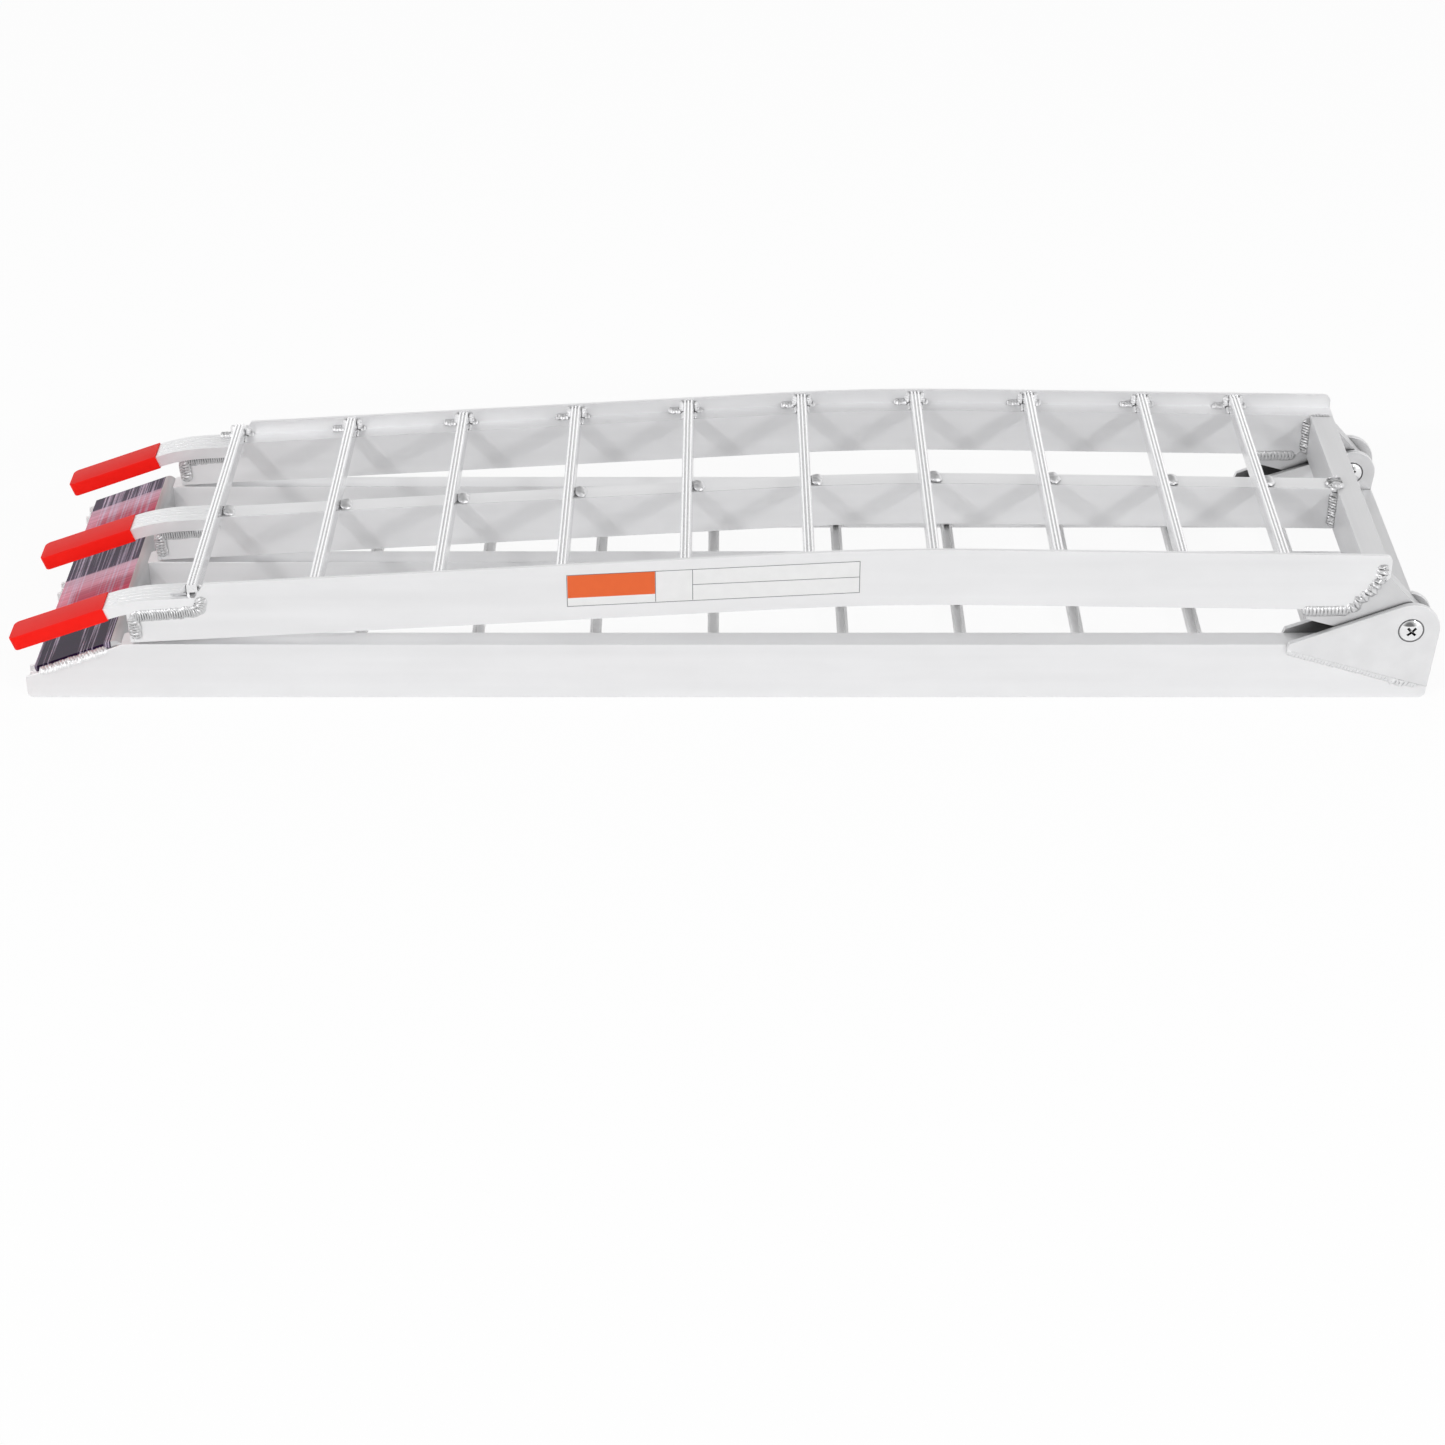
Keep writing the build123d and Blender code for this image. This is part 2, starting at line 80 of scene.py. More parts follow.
# %% Colour and node helpers
def colour(hex_value):
    channels = [int(hex_value[i:i + 2], 16) / 255 for i in (1, 3, 5)]
    return [c / 12.92 if c <= 0.04045 else ((c + 0.055) / 1.055) ** 2.4 for c in channels] + [1.0]


def add_node(tree, kind, settings=None, links=None):
    """Adds a node. settings are properties or input values, links are input name -> another node's output."""
    node = tree.nodes.new(kind)
    for name, value in (settings or {}).items():
        if isinstance(name, int) or name in node.inputs:
            node.inputs[name].default_value = value
        else:
            setattr(node, name, value)
    for name, output in (links or {}).items():
        tree.links.new(output, node.inputs[name])
    return node


def new_material(name):
    material = bpy.data.materials.new(name)
    material.use_nodes = True
    material.node_tree.nodes.clear()
    return material, material.node_tree


def finish_material(tree, surface):
    add_node(tree, "ShaderNodeOutputMaterial", links={"Surface": surface})


print("colour of mid grey in linear light:", round(colour("#808080")[0], 3))

# %% [markdown]
# ## Studio
# The floor is pale and plain. Seen directly it is mixed with a plain white glow, so the background is white and the
# object's shadow stays as a faint tone. Seen by the light that bounces about the scene it is ordinary matte paint.

# %% Floor
GLOW_TO_CAMERA, GLOW_IN_REFLECTIONS = 0.93, 0.58


def flat_rectangle(name, low, high):
    """A plain rectangle in the XY plane as a mesh, used only for the studio."""
    mesh = bpy.data.meshes.new(name)
    mesh.from_pydata([(low[0], low[1], 0), (high[0], low[1], 0), (high[0], high[1], 0), (low[0], high[1], 0)],
                     [], [(0, 1, 2, 3)])
    return add_object(name, mesh)


bpy.context.scene.view_settings.view_transform = "Standard"
floor = flat_rectangle("studio_floor", (-6, -6), (6, 6))
floor_paint, tree = new_material("matte_white_studio_floor")
path = add_node(tree, "ShaderNodeLightPath")
matte = add_node(tree, "ShaderNodeBsdfDiffuse", {"Color": colour("#F6F6F6"), "Roughness": 0.9})
glow = add_node(tree, "ShaderNodeEmission", {"Color": colour("#FFFFFF"), "Strength": 1.0})
seen = add_node(tree, "ShaderNodeMath", {"operation": "MULTIPLY", 1: GLOW_TO_CAMERA},
                {0: path.outputs["Is Camera Ray"]})
glow_share = add_node(tree, "ShaderNodeMath", {"operation": "MULTIPLY_ADD", 1: GLOW_IN_REFLECTIONS},
                      {0: path.outputs["Is Glossy Ray"], 2: seen.outputs[0]})
mixed = add_node(tree, "ShaderNodeMixShader",
                 links={0: glow_share.outputs[0], 1: matte.outputs[0], 2: glow.outputs[0]})
finish_material(tree, mixed.outputs[0])
floor.data.materials.append(floor_paint)
print("floor", floor.dimensions[:2], "m")

# %% [markdown]
# Bare metal shows what is round it, so the world matters more than the lamps. It is a soft white room: bright at eye
# height and greyer overhead, which gives upward faces a darker tone than the faces turned to the viewer. Straight
# behind the viewer it is dim, like the unlit end of a studio, and polished heads need that to look like chrome. The
# camera sees plain white.

# %% World
ROOM_BRIGHTNESS = 1.3
MULTIPLY = {"data_type": "RGBA", "blend_type": "MULTIPLY", 0: 1.0}

world = bpy.data.worlds.new("white_room")
bpy.context.scene.world = world
world.use_nodes = True
tree = world.node_tree
tree.nodes.clear()
path = add_node(tree, "ShaderNodeLightPath")
direction = add_node(tree, "ShaderNodeTexCoord")
towards = add_node(tree, "ShaderNodeSeparateXYZ", links={0: direction.outputs["Generated"]})
height = add_node(tree, "ShaderNodeMapRange", {"From Min": -0.1, "From Max": 1.0}, {"Value": towards.outputs["Z"]})
sky = add_node(tree, "ShaderNodeValToRGB", links={"Fac": height.outputs[0]})
greys = sky.color_ramp.elements  # a new ramp has two, at 0 and at 1
greys[0].color, greys[1].color = colour("#E6E6E6"), colour("#676767")
greys.new(0.48).color = colour("#F9F9F9")
greys.new(0.74).color = colour("#8E8E8E")
unlit_end = add_node(tree, "ShaderNodeMapRange",
                     {"From Min": -0.96, "From Max": -0.8, "To Min": 0.15, "To Max": 1.0},
                     {"Value": towards.outputs["Y"]})
shaded = add_node(tree, "ShaderNodeMix", MULTIPLY, {6: sky.outputs[0], 7: unlit_end.outputs[0]})
room = add_node(tree, "ShaderNodeBackground", {"Strength": ROOM_BRIGHTNESS}, {"Color": shaded.outputs[2]})
backdrop = add_node(tree, "ShaderNodeBackground", {"Color": colour("#FFFFFF"), "Strength": 1.0})
mixed = add_node(tree, "ShaderNodeMixShader",
                 links={0: path.outputs["Is Camera Ray"], 1: room.outputs[0], 2: backdrop.outputs[0]})
add_node(tree, "ShaderNodeOutputWorld", links={"Surface": mixed.outputs[0]})
print(world.name, "with", len(greys), "greys from the floor to overhead")

# %% [markdown]
# Two small softboxes stand in front, one high on the left and one lower on the right. Each rung throws a soft slanted
# shadow down the rail behind it, and near the middle of the ramp the two directions cross.

# %% Lamps
SOFTBOX_SIZE, AIMED_AT = 0.24, Vector((0, 0, 0.08))


def softbox(name, place, power):
    lamp = add_object(name, bpy.data.lights.new(name, "AREA"))
    lamp.data.shape, lamp.data.size, lamp.data.energy = "DISK", SOFTBOX_SIZE, power
    lamp.location = place
    lamp.rotation_euler = (AIMED_AT - Vector(place)).to_track_quat("-Z", "Y").to_euler()
    print(name, power, "W,", round((AIMED_AT - Vector(place)).length, 2), "m away")


softbox("softbox_left", (-1.7, -2.3, 1.7), 24)
softbox("softbox_right", (1.7, -2.3, 1.15), 18)

# %% [markdown]
# ## Metals
# The rails are 6061 aluminium, pushed hot through a die and left as they came: mill finish. The die leaves fine lines
# along the length, and handling and the oxide skin leave it slightly mottled, so it reflects softly with a faint
# lengthwise streak. Stretched noise gives the lines: fine across the draw, long along it. The real lines are about
# 0.2 mm apart, which is too fine to show, so they are drawn about 1.5 mm apart, with broader bands over them.
#
# The upper rungs get painted shade in their grooves. The lower ones lie in shade inside the folded ramp, so they get a
# lighter, less metallic copy of the finish without groove shade, painted light that makes them the brighter of the two.

# %% Mill-finish extrusion
NOISE_SPAN = {"From Min": 0.3, "From Max": 0.7}  # nearly all of a noise lies between these two


def mill_finish_extrusion(name, draw_axis, tint, roughness, band_depth, line_relief=0.12, bare=0.6, groove_mm=0.0,
                          spread=0.04):
    """Extruded aluminium with die lines along draw_axis (0 = X, 1 = Y). bare is the share without oxide haze,
    grooves narrower than groove_mm get painted shade, and spread is how much the roughness varies."""
    material, tree = new_material(name)
    place = add_node(tree, "ShaderNodeTexCoord").outputs["Object"]

    def drawn(across_mm, along_mm):
        scales = [1000 / across_mm] * 3
        scales[draw_axis] = 1000 / along_mm
        return add_node(tree, "ShaderNodeMapping", {"Scale": scales}, {"Vector": place}).outputs[0]

    lines = add_node(tree, "ShaderNodeTexNoise", {"Scale": 1.0, "Detail": 3.0}, {"Vector": drawn(1.5, 240)})
    bands = add_node(tree, "ShaderNodeTexNoise", {"Scale": 1.0, "Detail": 2.0}, {"Vector": drawn(16, 420)})
    mottle = add_node(tree, "ShaderNodeTexNoise", {"Scale": 1.0, "Detail": 4.0}, {"Vector": drawn(26, 70)})
    tone = add_node(tree, "ShaderNodeMix", {"data_type": "FLOAT", 0: 0.45},
                    {2: bands.outputs[0], 3: mottle.outputs[0]})
    shades = add_node(tree, "ShaderNodeMapRange", {**NOISE_SPAN, "To Min": 1 - band_depth, "To Max": 1.0},
                      {"Value": tone.outputs[0]})
    base = add_node(tree, "ShaderNodeMix", {**MULTIPLY, 6: colour(tint)}, {7: shades.outputs[0]})
    if groove_mm:
        # Painted shade: grooves narrower than groove_mm are darkened where shade would fall.
        hollows = add_node(tree, "ShaderNodeAmbientOcclusion",
                           {"Distance": groove_mm * MM, "samples": 8, "only_local": True})
        groove_shade = add_node(tree, "ShaderNodeMapRange", {"From Min": 0.3, "From Max": 0.8, "To Min": 0.7, "To Max": 1.0},
                         {"Value": hollows.outputs["AO"]})
        base = add_node(tree, "ShaderNodeMix", MULTIPLY, {6: base.outputs[2], 7: groove_shade.outputs[0]})
    rough = add_node(tree, "ShaderNodeMapRange",
                     {**NOISE_SPAN, "To Min": roughness - spread, "To Max": roughness + spread},
                     {"Value": lines.outputs[0]})
    relief = add_node(tree, "ShaderNodeBump", {"Strength": line_relief, "Distance": 0.0001},
                      {"Height": lines.outputs[0]})
    metal = add_node(tree, "ShaderNodeBsdfPrincipled", {"Metallic": bare},
                     {"Base Color": base.outputs[2], "Roughness": rough.outputs[0], "Normal": relief.outputs[0]})
    finish_material(tree, metal.outputs[0])
    return material


rail_metal = mill_finish_extrusion("mill_finish_6061_rail", 0, "#F7F7F8", 0.42, 0.07)
# The cross tubes get a darker copy of the finish: painted shade for their dimmer tops.
shaded_cross_metal = mill_finish_extrusion("mill_finish_6061_cross_tube_shaded_copy", 1, "#EAEAEB", 0.40, 0.08, bare=0.5)
rung_metal = mill_finish_extrusion("mill_finish_6063_rung", 1, "#FAFAFB", 0.22, 0.03,
                                   line_relief=0.0, bare=0.85, groove_mm=1.6)
# Painted light: the lower rungs get a lighter, less metallic copy, as they lie in shade under the upper section.
lit_rung_metal = mill_finish_extrusion("mill_finish_6063_rung_clean", 1, "#FFFFFF", 0.5, 0.02,
                                         line_relief=0.0, bare=0.3)
bar_metal = mill_finish_extrusion("mill_finish_6061_flat_bar", 0, "#FAFAFB", 0.45, 0.03,
                                  line_relief=0.0, spread=0.01)
print("extrusion finishes:", sum(m.name.startswith("mill_finish") for m in bpy.data.materials))

# %% [markdown]
# The hinge plates are cut from rolled sheet and tumbled, so their grain has no direction: a fine even tooth, a little
# duller than the rails. Two plates stand 20 mm apart with the tongue between them, and an occlusion node that reaches
# 45 mm paints shade into that narrow channel.

# %% Tumbled plate
CHANNEL_REACH_MM = 45


def tumbled_plate(name, tint, roughness):
    material, tree = new_material(name)
    place = add_node(tree, "ShaderNodeTexCoord").outputs["Object"]
    tooth = add_node(tree, "ShaderNodeTexNoise", {"Scale": 1000 / 1.2, "Detail": 2.0}, {"Vector": place})
    cloud = add_node(tree, "ShaderNodeTexNoise", {"Scale": 1000 / 22, "Detail": 3.0}, {"Vector": place})
    shades = add_node(tree, "ShaderNodeMapRange", {**NOISE_SPAN, "To Min": 0.93, "To Max": 1.0},
                      {"Value": cloud.outputs[0]})
    base = add_node(tree, "ShaderNodeMix", {**MULTIPLY, 6: colour(tint)}, {7: shades.outputs[0]})
    # Painted shade: the colour darkens wherever something stands within 45 mm, as in the channel between two plates.
    hollows = add_node(tree, "ShaderNodeAmbientOcclusion", {"Distance": CHANNEL_REACH_MM * MM, "samples": 12})
    painted_hollow_shade = add_node(tree, "ShaderNodeMapRange", {"From Min": 0.3, "From Max": 0.62, "To Min": 0.12, "To Max": 1.0},
                      {"Value": hollows.outputs["AO"]})
    shade_painted_base = add_node(tree, "ShaderNodeMix", MULTIPLY, {6: base.outputs[2], 7: painted_hollow_shade.outputs[0]})
    relief = add_node(tree, "ShaderNodeBump", {"Strength": 0.25, "Distance": 0.0001}, {"Height": tooth.outputs[0]})
    metal = add_node(tree, "ShaderNodeBsdfPrincipled", {"Metallic": 0.6, "Roughness": roughness},
                     {"Base Color": shade_painted_base.outputs[2], "Normal": relief.outputs[0]})
    finish_material(tree, metal.outputs[0])
    return material


plate_metal = tumbled_plate("tumbled_5052_plate", "#F0F0F1", 0.46)
tongue_metal = tumbled_plate("tumbled_5052_thick_plate", "#DEDEDF", 0.42)
print("plate finishes:", plate_metal.name, "and", tongue_metal.name)

# %% [markdown]
# Weld metal freezes in ripples, bright on their crests, with soot and painted shade in the hollows and along the edges.
# The ripples themselves are modelled further down. The material adds small pits, and an occlusion node paints soot and
# shade wherever it is hollow within a millimetre or two. The small beads get a paler, duller copy, painted light for
# beads in shade.

# %% Weld metal
def weld_finish(name, crest, hollow, soot_and_shade_to, clean_from, reach_mm, roughness):
    """soot_and_shade_to and clean_from give how open a place is, 0 to 1, where soot and painted shade begin to thin and
    end.
    """
    material, tree = new_material(name)
    place = add_node(tree, "ShaderNodeTexCoord").outputs["Object"]
    grain = add_node(tree, "ShaderNodeTexNoise", {"Scale": 1000 / 1.6, "Detail": 3.0}, {"Vector": place})
    # Soot and painted shade: the colour darkens where something stands within reach_mm.
    hollows = add_node(tree, "ShaderNodeAmbientOcclusion", {"Distance": reach_mm * MM, "samples": 8})
    soot_and_shade = add_node(tree, "ShaderNodeValToRGB", links={"Fac": hollows.outputs["AO"]})
    soot_and_shade_stop, clean = soot_and_shade.color_ramp.elements
    soot_and_shade_stop.position, soot_and_shade_stop.color = soot_and_shade_to, colour(hollow)
    clean.position, clean.color = clean_from, colour(crest)
    spread = 0.07
    rough = add_node(tree, "ShaderNodeMapRange",
                     {**NOISE_SPAN, "To Min": roughness - spread, "To Max": roughness + spread},
                     {"Value": grain.outputs[0]})
    relief = add_node(tree, "ShaderNodeBump", {"Strength": 0.3, "Distance": 0.0002}, {"Height": grain.outputs[0]})
    metal = add_node(tree, "ShaderNodeBsdfPrincipled", {"Metallic": 0.8},
                     {"Base Color": soot_and_shade.outputs[0], "Roughness": rough.outputs[0], "Normal": relief.outputs[0]})
    finish_material(tree, metal.outputs[0])
    return material


weld_metal = weld_finish("tig_weld_metal_4043", "#DCDCDD", "#303032",
                         soot_and_shade_to=0.35, clean_from=0.9, reach_mm=1.6, roughness=0.43)
# The small beads get a paler, duller copy: painted light, as they sit in shade yet look bright.
paler_lit_weld_metal = weld_finish("tig_weld_metal_4043_lit_copy", "#F0F0F1", "#2E2E30",
                         soot_and_shade_to=0.4, clean_from=0.74, reach_mm=1.2, roughness=0.5)
print("weld finishes:", weld_metal.name, "and", paler_lit_weld_metal.name)

# %% [markdown]
# The ground plate is polished sheet, folded down at its upper end, where the fold is bare. Its dark violet and pink to
# lavender passes along the slope are painted reflection: dark where it mirrors the shaded fingers, pink to lavender
# where it mirrors the room and the red sleeves, and its thin pale streaks are painted highlights. A ramp over Y gives
# the passes, two stretched noises give the streaks, 2 and 9 mm apart, and a third, turned the other way, gives the fine
# lines of the polishing belt. The bare fold begins at its own X.

# %% Polished plate with painted reflections
FOLD_MM, FOLD_EDGE_MM, REFLECTION_SPAN_MM = 9.4, 0.3, 300
ground_low, ground_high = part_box("ground_plate")
fold_x = ground_high.x - FOLD_MM * MM
# Painted reflection: dark passes mirror the shaded fingers and pink to lavender ones the room, by Y across the plate.
reflection_passes_mm = ((0, "#240F30"), (45, "#281236"), (55, "#EA7189"), (92, "#EA7189"), (144, "#D2AABD"), (146, "#371F44"),
             (185, "#2A143A"), (195, "#EA7189"), (232, "#EA7189"), (276, "#CEA6BA"), (278, "#3B2348"),
             (REFLECTION_SPAN_MM, "#2F173D"))

reflection_painted_plate, tree = new_material("polished_plate_painted_reflections")
place = add_node(tree, "ShaderNodeTexCoord").outputs["Object"]
along = add_node(tree, "ShaderNodeSeparateXYZ", links={0: place})
across_plate = add_node(tree, "ShaderNodeMapRange", {"From Min": ground_low.y, "From Max": ground_high.y},
                        {"Value": along.outputs["Y"]})
painted_reflection_passes = add_node(tree, "ShaderNodeValToRGB", links={"Fac": across_plate.outputs[0]})
stops = painted_reflection_passes.color_ramp.elements
for y_mm, hex_value in reflection_passes_mm[1:-1]:
    stops.new(y_mm / REFLECTION_SPAN_MM).color = colour(hex_value)
stops[0].color, stops[len(stops) - 1].color = colour(reflection_passes_mm[0][1]), colour(reflection_passes_mm[-1][1])
fine = add_node(tree, "ShaderNodeMapping", {"Scale": (1000 / 2, 1000 / 160, 0)}, {"Vector": place})
wide = add_node(tree, "ShaderNodeMapping", {"Scale": (1000 / 9, 1000 / 320, 0)}, {"Vector": place})
fine_streaks = add_node(tree, "ShaderNodeTexNoise", {"Scale": 1.0, "Detail": 3.0}, {"Vector": fine.outputs[0]})
wide_streaks = add_node(tree, "ShaderNodeTexNoise", {"Scale": 1.0, "Detail": 2.0}, {"Vector": wide.outputs[0]})
streaks = add_node(tree, "ShaderNodeMath", {"operation": "ADD"},
                   {0: fine_streaks.outputs[0], 1: wide_streaks.outputs[0]})
slope = add_node(tree, "ShaderNodeMapping", {"Scale": (1000 / 60, 1000 / 2.2, 0)}, {"Vector": place})
slope_lines = add_node(tree, "ShaderNodeTexNoise", {"Scale": 1.0, "Detail": 2.0}, {"Vector": slope.outputs[0]})
hatched = add_node(tree, "ShaderNodeMapRange", {"From Min": 0.35, "From Max": 0.65, "To Min": 0.78, "To Max": 1.06},
                   {"Value": slope_lines.outputs[0]})
# Painted highlight: thin pale streaks where the two streak noises add up high.
highlight_streak_mask = add_node(tree, "ShaderNodeMapRange", {"From Min": 1.0, "From Max": 1.2, "To Min": 0.0, "To Max": 0.8},
                {"Value": streaks.outputs[0]})
highlight_streaked = add_node(tree, "ShaderNodeMix", {"data_type": "RGBA", 7: colour("#D9CAE2")},
                    {0: highlight_streak_mask.outputs[0], 6: painted_reflection_passes.outputs[0]})
bare = add_node(tree, "ShaderNodeMapRange", {"From Min": fold_x, "From Max": fold_x + FOLD_EDGE_MM * MM},
                {"Value": along.outputs["X"]})
crossed = add_node(tree, "ShaderNodeMix", MULTIPLY, {6: highlight_streaked.outputs[2], 7: hatched.outputs[0]})
base = add_node(tree, "ShaderNodeMix", {"data_type": "RGBA", 7: colour("#CBCBCC")},
                {0: bare.outputs[0], 6: crossed.outputs[2]})
gloss = add_node(tree, "ShaderNodeMapRange", {"To Min": 0.14, "To Max": 0.4}, {"Value": bare.outputs[0]})
metal = add_node(tree, "ShaderNodeBsdfPrincipled", {"Metallic": 0.3, "Specular IOR Level": 0.05},
                 {"Base Color": base.outputs[2], "Roughness": gloss.outputs[0]})
finish_material(tree, metal.outputs[0])
print("ground plate from X", round(ground_low.x / MM, 1), "to", round(ground_high.x / MM, 1), "mm, bare from",
      round(fold_x / MM, 1))

# %% [markdown]
# The pivot heads are steel with bright chrome plating: almost a mirror. The cross recess and the rim get painted black
# shade, wherever something is hollow within 4 mm.

# %% Chrome
chrome, tree = new_material("bright_chrome_plate")
# Painted shade: black in the cross recess and round the rim, wherever something is within 4 mm.
hollows = add_node(tree, "ShaderNodeAmbientOcclusion", {"Distance": 4 * MM, "samples": 12})
painted_hollow_shade = add_node(tree, "ShaderNodeValToRGB", links={"Fac": hollows.outputs["AO"]})
shade_stop, clean = painted_hollow_shade.color_ramp.elements
shade_stop.position, shade_stop.color = 0.55, colour("#151516")
clean.position, clean.color = 0.94, colour("#FCFCFD")
metal = add_node(tree, "ShaderNodeBsdfPrincipled", {"Metallic": 1.0, "Roughness": 0.04},
                 {"Base Color": painted_hollow_shade.outputs[0]})
finish_material(tree, metal.outputs[0])
print("made", chrome.name)

# %% [markdown]
# A thin ring, nearly black with a soft shine, lies under each head. It is painted shadow and dark reflection, and
# draws the dark line that sets a bright head off from a bright plate.

# %% Painted rim shadow
# A nearly black film for the ring of painted shadow and dark reflection round each head.
rim_shadow_film, tree = new_material("painted_rim_shadow")
place = add_node(tree, "ShaderNodeTexCoord").outputs["Object"]
smear = add_node(tree, "ShaderNodeTexNoise", {"Scale": 1000 / 3, "Detail": 2.0}, {"Vector": place})
tones = add_node(tree, "ShaderNodeMix", {"data_type": "RGBA", 6: colour("#2E2E30"), 7: colour("#77777A")},
                 {0: smear.outputs[0]})
film = add_node(tree, "ShaderNodeBsdfPrincipled", {"Roughness": 0.5, "IOR": 1.46, "Specular IOR Level": 0.2},
                {"Base Color": tones.outputs[2]})
finish_material(tree, film.outputs[0])
print("made", rim_shadow_film.name)

# %% [markdown]
# ## Red vinyl
# The sleeves are dipped PVC: soft, saturated red, with a satin skin that has a little orange peel. Light enters a
# short way and comes back, which keeps the shaded side glowing rather than brown.

# %% Dipped vinyl
red_vinyl, tree = new_material("dipped_pvc_red")
place = add_node(tree, "ShaderNodeTexCoord").outputs["Object"]
peel = add_node(tree, "ShaderNodeTexNoise", {"Scale": 1000 / 3.5, "Detail": 2.0}, {"Vector": place})
cloud = add_node(tree, "ShaderNodeTexNoise", {"Scale": 1000 / 30, "Detail": 2.0}, {"Vector": place})
tones = add_node(tree, "ShaderNodeMix", {"data_type": "RGBA", 6: colour("#FA1810"), 7: colour("#FF2218")},
                 {0: cloud.outputs[0]})
relief = add_node(tree, "ShaderNodeBump", {"Strength": 0.12, "Distance": 0.0003}, {"Height": peel.outputs[0]})
vinyl = add_node(tree, "ShaderNodeBsdfPrincipled",
                 {"Roughness": 0.5, "IOR": 1.53, "Specular IOR Level": 0.12, "Subsurface Weight": 0.15,
                  "Subsurface Scale": 0.002, "Subsurface Radius": (1.0, 0.2, 0.1)},
                 {"Base Color": tones.outputs[2], "Normal": relief.outputs[0]})
finish_material(tree, vinyl.outputs[0])
print("made", red_vinyl.name)

# %% [markdown]
# ## Dressing the solids
# Each solid gets the finish of its own stock: rails and caps, cross tubes, rungs, flat bars, plates, with a darker copy
# for the cross tubes as painted shade. A node's name says what it is cut from, so the name picks the finish.

# %% Assign finishes
def finish_for(node):
    if "rung" in node:
        return rung_metal if node.startswith("upper") else lit_rung_metal
    if "crossbar" in node:
        return shaded_cross_metal
    if node.startswith("finger_sleeve"):
        return red_vinyl
    if node.startswith("finger"):
        return bar_metal
    if node.startswith("tongue"):
        return tongue_metal
    if node.startswith("clevis"):
        return plate_metal
    if node.startswith("pivot"):
        return chrome
    return reflection_painted_plate if node == "ground_plate" else rail_metal


for node, solid in nodes.items():
    solid.data.materials.clear()
    solid.data.materials.append(finish_for(node))
print("dressed", len(nodes), "solids")

# %% [markdown]
# An extrusion's corners are rounded by about half a millimetre, and that is what catches the thin bright lines along
# them. Modifiers do this, so the solids themselves stay untouched: two merge shared corners and coplanar faces, and
# a Bevel then rounds the edges.
#
# The arch of the upper rails is a chain of flat facets, which would show as bands. So all faces are shaded smooth,
# and Weighted Normal then lets the large faces keep their own direction while the small ones blend between them.

# %% Soft edges
EDGE_RADIUS_MM, CAP_EDGE_RADIUS_MM = 0.6, 0.4

smooth_shading = bpy.data.node_groups.new("smooth_shading", "GeometryNodeTree")
for in_out in ("INPUT", "OUTPUT"):
    smooth_shading.interface.new_socket("Geometry", in_out=in_out, socket_type="NodeSocketGeometry")
raw_faces = add_node(smooth_shading, "NodeGroupInput")
smooth_faces = add_node(smooth_shading, "GeometryNodeSetShadeSmooth", links={"Geometry": raw_faces.outputs[0]})
add_node(smooth_shading, "NodeGroupOutput", links={0: smooth_faces.outputs[0]})


def soften_edges(solid, radius_mm):
    weld = solid.modifiers.new("merge_shared_corners", "WELD")
    weld.merge_threshold = 0.001 * MM
    flat = solid.modifiers.new("merge_flat_faces", "DECIMATE")
    flat.decimate_type, flat.angle_limit = "DISSOLVE", math.radians(0.5)
    bevel = solid.modifiers.new("soft_edges", "BEVEL")
    bevel.width, bevel.segments, bevel.limit_method = radius_mm * MM, 2, "ANGLE"
    bevel.angle_limit, bevel.use_clamp_overlap = math.radians(40), True
    solid.modifiers.new("smooth_shading", "NODES").node_group = smooth_shading
    solid.modifiers.new("even_normals", "WEIGHTED_NORMAL")


with_edges = ("upper_rail", "lower_rail", "upper_crossbar", "lower_crossbar", "clevis", "tongue", "end_cap")
softened = [node for node in nodes if node.startswith(with_edges)]
for node in softened:
    soften_edges(nodes[node], CAP_EDGE_RADIUS_MM if node.startswith("end_cap") else EDGE_RADIUS_MM)
print("softened", len(softened), "solids")

# %% [markdown]
# ## Pieces of its own mesh
# What the solids leave plain is built here as separate pieces. Each is drawn in millimetres, scaled once, and told
# which section it moves with.

# %% A piece from mesh code
def make_piece(name, shape, body, material, stands_for=(), sharp_degrees=40):
    """A bmesh in millimetres becomes a piece that rides on a section."""
    bmesh.ops.recalc_face_normals(shape, faces=shape.faces)
    mesh = bpy.data.meshes.new(name)
    shape.to_mesh(mesh)
    shape.free()
    mesh.transform(Matrix.Scale(MM, 4))
    mesh.materials.append(material)
    mesh.shade_smooth()
    mesh.set_sharp_from_angle(angle=math.radians(sharp_degrees))
    piece = add_object(name, mesh)
    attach(piece, body)
    if stands_for:
        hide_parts(*stands_for)
    return piece


def box_mm(node):
    low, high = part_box(node)
    return low / MM, high / MM


def surface_mm(node, start, direction):
    """Where a straight line from start first meets a solid."""
    found, place, _, _ = nodes[node].ray_cast(Vector(start) * MM, Vector(direction))
    return place / MM if found else None


OUTER, INNER = -box_mm("upper_rail_near")[0].y, -box_mm("upper_crossbar")[0].y
CURB_INNER = box_mm("upper_rung_05")[1].y
print("rail faces at", round(OUTER, 1), "and", round(INNER, 1), "mm from the middle, curb at", round(CURB_INNER, 1))

# %% [markdown]
# ### Sleeves
# A sleeve is a thin skin of vinyl over the end of a flat bar: crisp, nearly flat faces, edges rounded by less than
# a millimetre, and an open mouth with a visible lip. The outer skin is the convex hull of the ready-made sleeve,
# merged back to flat faces, bevelled, and then hollowed from the mouth.

# %% Vinyl sleeves
SLEEVE_EDGE, SLEEVE_WALL, SLEEVE_POCKET = 0.9, 0.9, 60


def only_vertices(geometry):
    return [part for part in geometry if isinstance(part, bmesh.types.BMVert)]


